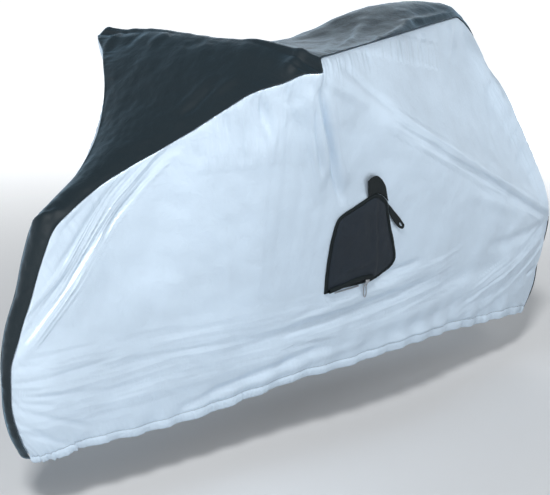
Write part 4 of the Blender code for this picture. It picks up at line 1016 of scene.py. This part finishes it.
pouch_points = [point for side in POUCH_SIDES.values() for point in side]
outline = smooth_line([pouch_points[0], *pouch_points], POUCH_STEPS, closed=True)
ends = np.cumsum([0] + [len(side) * POUCH_STEPS for side in POUCH_SIDES.values()])
panel_edge = set_in(outline, BINDING_WIDTH + SEAM_GAP - UNDER_BINDING)
panel_edge = np.concatenate([panel_edge, panel_edge[:1]])
bottom, back, top, front = (panel_edge[a : b + 1] for a, b in zip(ends, ends[1:]))
up, back_share = np.linspace(0, 1, POUCH_GRID[0]), np.linspace(0, 1, POUCH_GRID[1])
places = patch(bottom, top[::-1], front[::-1], back, back_share, up)
puff = curves(PUFF_COLUMNS, PUFF_ROWS)(back_share)["rise"][None]
puff = puff * (np.minimum(1, PUFF_FOOT * up) ** 0.5 * np.minimum(1, PUFF_HEAD * (1 - up)) ** 0.5)[:, None]
inside = (np.minimum(1, POUCH_FOLD_ENDS * up) * np.minimum(1, POUCH_FOLD_ENDS * (1 - up)))[:, None]
puff = puff + relief(POUCH_FOLDS, places[..., 0], places[..., 1]) * inside
bumps = crinkle(places[..., 0], places[..., 1], POUCH_CRINKLE_SIZE, POUCH_CRINKLE_SEED)
puff += POUCH_CRINKLE * bumps * inside
lift = np.maximum(puff, 0.0) + POUCH_CLOTH
pouch_polyester = cloth_look("pouch_polyester", (0.014, 0.021, 0.030), 0.0, 0.62, 0.35, 0.0008, 0.35)
pouch_front = cloth_sheet(
    "pouch_front", laid(places, lift), places, pouch_polyester, POUCH_CLOTH
)
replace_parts(pouch_front, "pouch_panel")

# ---- Pouch binding ----------------------------------------------------------------------------------------
# Black polyester tape folded over the pouch's edge and sewn down all round, a little lumpy at the stitches.
# The section of the tape, from its outer edge inwards: the share of its width and of its thickness.
BINDING_PROFILE = (
    (0.0, 0.0),
    (0.03, 0.55),
    (0.2, 0.95),
    (0.5, 1.0),
    (0.72, 0.72),
    (0.88, 0.8),
    (1.0, 0.45),
    (1.0, 0.0),
)
BINDING_STITCH, BINDING_STITCH_RISE, BINDING_SEED = 0.007, 0.16, 31
black_tape = cloth_look("black_tape", (0.007, 0.012, 0.014), 0.0, 0.75, 0.2, 0.0014, 0.5)
ring = np.concatenate([outline, outline[:1]])
ring_run = np.concatenate([[0.0], np.cumsum(np.linalg.norm(np.diff(ring, axis=0), axis=1))])
lumps = 1 + BINDING_STITCH_RISE * uneven(ring_run, BINDING_STITCH, BINDING_SEED)
lumps[-1] = lumps[0]
loops = [set_in(outline, BINDING_WIDTH * share) for share, height in BINDING_PROFILE]
places = np.array([np.concatenate([loop, loop[:1]]) for loop in loops])
lift = np.array(
    [BINDING_THICK * height * lumps - LAY_GAP * 0.5 * (height == 0) for share, height in BINDING_PROFILE]
)
binding = cloth_sheet("binding", laid(places, lift), places, black_tape, thick=0, closed=True)
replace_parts(binding, "pouch_binding")

# ---- Handle and pull strap --------------------------------------------------------------------------------
# Flat black web sewn into the pouch's edge: a short broad handle at the top, and behind it a narrow strap
# whose end has a slot.
WEB, WEB_PITCH = 0.0020, 0.0016
HANDLE_SEAM = ((0.487, 0.676), (0.565, 0.650))
HANDLE_FRONT_EDGE = ((0.474, 0.703), (0.465, 0.722))
HANDLE_BACK_EDGE = ((0.551, 0.675), (0.537, 0.698), (0.517, 0.718))
HANDLE_TOP = ((0.465, 0.722), (0.479, 0.731), (0.496, 0.731), (0.517, 0.718))
HANDLE_LIFT, HANDLE_CROWN, HANDLE_GRID = 0.006, 0.0015, (16, 18)
STRAP_SEAM = ((0.586, 0.616), (0.571, 0.644))
STRAP_LOWER_EDGE = (
    (0.595, 0.6065),
    (0.606, 0.596),
    (0.617, 0.5865),
    (0.629, 0.5765),
    (0.641, 0.5705),
    (0.6475, 0.5705),
)
STRAP_UPPER_EDGE = (
    (0.582, 0.6375),
    (0.604, 0.620),
    (0.624, 0.604),
    (0.641, 0.5885),
    (0.650, 0.580),
    (0.6505, 0.573),
)
STRAP_LIFT, STRAP_COLUMNS = 0.006, 40
SLOT_FROM, SLOT_TO, SLOT_WIDTH = 0.70, 0.88, 0.34
black_webbing = cloth_look("black_webbing", (0.008, 0.013, 0.015), 0.0, 0.7, 0.15, WEB_PITCH, 0.6)
outside = set_in(outline, -SEWN_GAP)


def along_outline(start, end, shares):
    """Places just outside the pouch's edge, from the one nearest to start to the one nearest to end."""
    a, b = (int(np.argmin(np.linalg.norm(outside - np.array(point), axis=1))) for point in (start, end))
    return resampled(outside[a : b + 1] if a < b else outside[b : a + 1][::-1], shares)


up, wide = np.linspace(0, 1, HANDLE_GRID[0]), np.linspace(0, 1, HANDLE_GRID[1])
seam = along_outline(*HANDLE_SEAM, wide)
front_edge = smooth_line([seam[0], *HANDLE_FRONT_EDGE], POUCH_STEPS)
back_edge = smooth_line([seam[-1], *HANDLE_BACK_EDGE], POUCH_STEPS)
places = patch(seam, smooth_line(HANDLE_TOP, POUCH_STEPS), front_edge, back_edge, wide, up)
crown = HANDLE_CROWN * (1 - (2 * wide - 1) ** 2)[None] * up[:, None]
rise = (HANDLE_LIFT * np.sqrt(up))[:, None] + crown + WEB
handle = cloth_sheet("handle", laid(places, rise), places, black_webbing, WEB)
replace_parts(handle, "pouch_handle")

along = np.linspace(0, 1, STRAP_COLUMNS)
slot_round = np.clip((along - SLOT_FROM) * (SLOT_TO - along), 0, None) ** 0.5
slot_half = slot_round / (SLOT_TO - SLOT_FROM) * SLOT_WIDTH
in_slot = np.flatnonzero((along > SLOT_FROM) & (along < SLOT_TO))
half = np.where(slot_half > 0, slot_half, SLOT_WIDTH / 2)
half[[in_slot[0] - 1, in_slot[-1] + 1]] = 0.0
wide = np.stack([0 * half, 0.25 - half / 2, 0.5 - half, 0.5 + half, 0.75 + half / 2, 0 * half + 1])
lower = resampled(smooth_line([along_outline(*STRAP_SEAM, (0.0,))[0], *STRAP_LOWER_EDGE], POUCH_STEPS), along)
upper = resampled(smooth_line([along_outline(*STRAP_SEAM, (1.0,))[0], *STRAP_UPPER_EDGE], POUCH_STEPS), along)
places = lower[None] * (1 - wide[..., None]) + upper[None] * wide[..., None]
rise = (STRAP_LIFT * np.sqrt(along))[None] + WEB
slot_cells = [(2, column) for column in range(in_slot[0] - 1, in_slot[-1] + 1)]
strap = cloth_sheet(
    "strap", laid(places, rise), places, black_webbing, WEB, cut=slot_cells, closed=True
)
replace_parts(strap, "pull_strap")

# ---- Zip --------------------------------------------------------------------------------------------------
# The pouch's zip, shut along its lower edge: a folded tape with metal teeth beside it, a slider, and a puller
# that is a loop of bent wire hung from a small ring.
TAPE_LINE = ((0.424, 0.4465), (0.476, 0.4560), (0.500, 0.4615), (0.532, 0.4625), (0.566, 0.4585))
TAPE_PROFILE = ((-0.0055, 0.0), (-0.005, 0.6), (-0.002, 1.0), (0.002, 1.0), (0.005, 0.6), (0.0055, 0.0))
TAPE_RISE, TAPE_LIFT, TAPE_COLUMNS = 0.0026, 0.0085, 48
TEETH_FROM, TEETH_TO, TEETH = (0.452, 0.4345), (0.528, 0.4385), 24
TOOTH, TOOTH_LIFT = (0.0016, 0.0018, 0.0036), 0.0011
SLIDER_AT, SLIDER_SIZE, SLIDER_LIFT = (0.5490, 0.4510), (0.013, 0.0050, 0.009), 0.0088
SLIDER_BEVEL = 0.0014
RING_AT, RING_SIZE, RING_LIFT = (0.5480, 0.4420), (0.0034, 0.0042), 0.0040
LOOP_AT, LOOP_SIZE, LOOP_LEAN = (0.5535, 0.4215), (0.0052, 0.0185), 0.28
WIRE, WIRE_LIFT, WIRE_SIDES, LOOP_STEPS = 0.0014, 0.0034, 8, 28
NICKEL_COLOUR, NICKEL_ROUGHNESS, WEAR_SCALE = (0.36, 0.37, 0.39, 1.0), (0.22, 0.42), 600.0
SHARP_FROM_DEGREES = 50

tape_line = resampled(smooth_line(TAPE_LINE, POUCH_STEPS), np.linspace(0, 1, TAPE_COLUMNS))
run = np.gradient(tape_line, axis=0)
run /= np.linalg.norm(run, axis=1, keepdims=True)
above = np.stack([-run[:, 1], run[:, 0]], axis=1)
places = np.array([tape_line + above * offset for offset, height in TAPE_PROFILE])
heights = [TAPE_RISE * height + TAPE_LIFT * (height > 0) for offset, height in TAPE_PROFILE]
lift = np.array([np.full(TAPE_COLUMNS, height) for height in heights])
cloth_sheet("zip_tape", laid(places, lift), places, black_tape, POUCH_CLOTH / 2)

dark_nickel = bpy.data.materials.new("dark_nickel")
dark_nickel.use_nodes = True
nodes, links = dark_nickel.node_tree.nodes, dark_nickel.node_tree.links
shader = nodes["Principled BSDF"]
shader.inputs["Base Color"].default_value = NICKEL_COLOUR
shader.inputs["Metallic"].default_value = 1.0
wear = nodes.new("ShaderNodeTexNoise")
wear.inputs["Scale"].default_value = WEAR_SCALE
wear_place = nodes.new("ShaderNodeTexCoord")
links.new(wear_place.outputs["Object"], wear.inputs["Vector"])
wear_range = nodes.new("ShaderNodeMapRange")
wear_range.inputs["To Min"].default_value = NICKEL_ROUGHNESS[0]
wear_range.inputs["To Max"].default_value = NICKEL_ROUGHNESS[1]
links.new(wear.outputs["Fac"], wear_range.inputs["Value"])
links.new(wear_range.outputs["Result"], shader.inputs["Roughness"])


def metal_piece(name, metal):
    """Finishes a metal piece made in place on the pattern."""
    bmesh.ops.translate(metal, verts=metal.verts[:], vec=-Vector(MOUNT_AT))
    piece = bpy.data.objects.new(name, bpy.data.meshes.new(name))
    metal.to_mesh(piece.data)
    metal.free()
    piece.data.materials.append(dark_nickel)
    piece.data.shade_smooth()
    piece.data.set_sharp_from_angle(angle=math.radians(SHARP_FROM_DEGREES))
    bpy.context.scene.collection.objects.link(piece)
    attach(piece, "root")
    return piece


flat_on_pouch = Matrix((Vector((1, 0, 0)), -Vector(pouch_out), Vector((0, 0, 1)))).transposed().to_4x4()


def block(metal, centre, size):
    """Adds a small block whose width, thickness and height lie along the pouch, off it and up it."""
    place = Matrix.Translation(centre) @ flat_on_pouch @ Matrix.Diagonal((*size, 1.0))
    bmesh.ops.create_cube(metal, size=1.0, matrix=place)


teeth = bmesh.new()
for share in np.linspace(0, 1, TEETH):
    x, z = np.array(TEETH_FROM) * (1 - share) + np.array(TEETH_TO) * share
    block(teeth, on_near_cloth(x, z, LAY_GAP + TOOTH_LIFT, pouch_out), TOOTH)
metal_piece("zip_teeth", teeth)

slider = bmesh.new()
block(slider, on_near_cloth(*SLIDER_AT, SLIDER_LIFT, pouch_out), SLIDER_SIZE)
bmesh.ops.bevel(
    slider, geom=slider.edges[:], offset=SLIDER_BEVEL, segments=2, profile=0.5, affect="EDGES", material=-1
)
metal_piece("zip_slider", slider)


def wire_loop(metal, centre, size, lift, lean):
    """Adds an oval of round wire, its long way up the pouch and leaning to the rear at its foot by lean."""
    around = np.linspace(0, 2 * np.pi, LOOP_STEPS, endpoint=False)
    x = centre[0] + size[0] * np.cos(around) - lean * size[1] * np.sin(around)
    path = [on_near_cloth(a, centre[1] + size[1] * np.sin(b), lift, pouch_out) for a, b in zip(x, around)]
    start = len(metal.verts)
    bmesh.ops.create_grid(metal, x_segments=WIRE_SIDES, y_segments=LOOP_STEPS, size=0.5)
    metal.verts.ensure_lookup_table()
    for i in range(LOOP_STEPS + 1):
        here = path[i % LOOP_STEPS]
        way = path[(i + 1) % LOOP_STEPS] - path[i % LOOP_STEPS - 1]
        sideways = np.cross(way / np.linalg.norm(way), pouch_out)
        for j in range(WIRE_SIDES + 1):
            turn = 2 * np.pi * j / WIRE_SIDES
            round_point = here + WIRE * (np.cos(turn) * sideways + np.sin(turn) * pouch_out)
            metal.verts[start + i * (WIRE_SIDES + 1) + j].co = round_point


puller = bmesh.new()
wire_loop(puller, RING_AT, RING_SIZE, LAY_GAP + WIRE_LIFT + RING_LIFT, 0.0)
wire_loop(puller, LOOP_AT, LOOP_SIZE, LAY_GAP + WIRE_LIFT, LOOP_LEAN)
bmesh.ops.remove_doubles(puller, verts=puller.verts[:], dist=1e-6)
bmesh.ops.recalc_face_normals(puller, faces=puller.faces[:])
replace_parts(metal_piece("puller_loop", puller), "zip_puller")
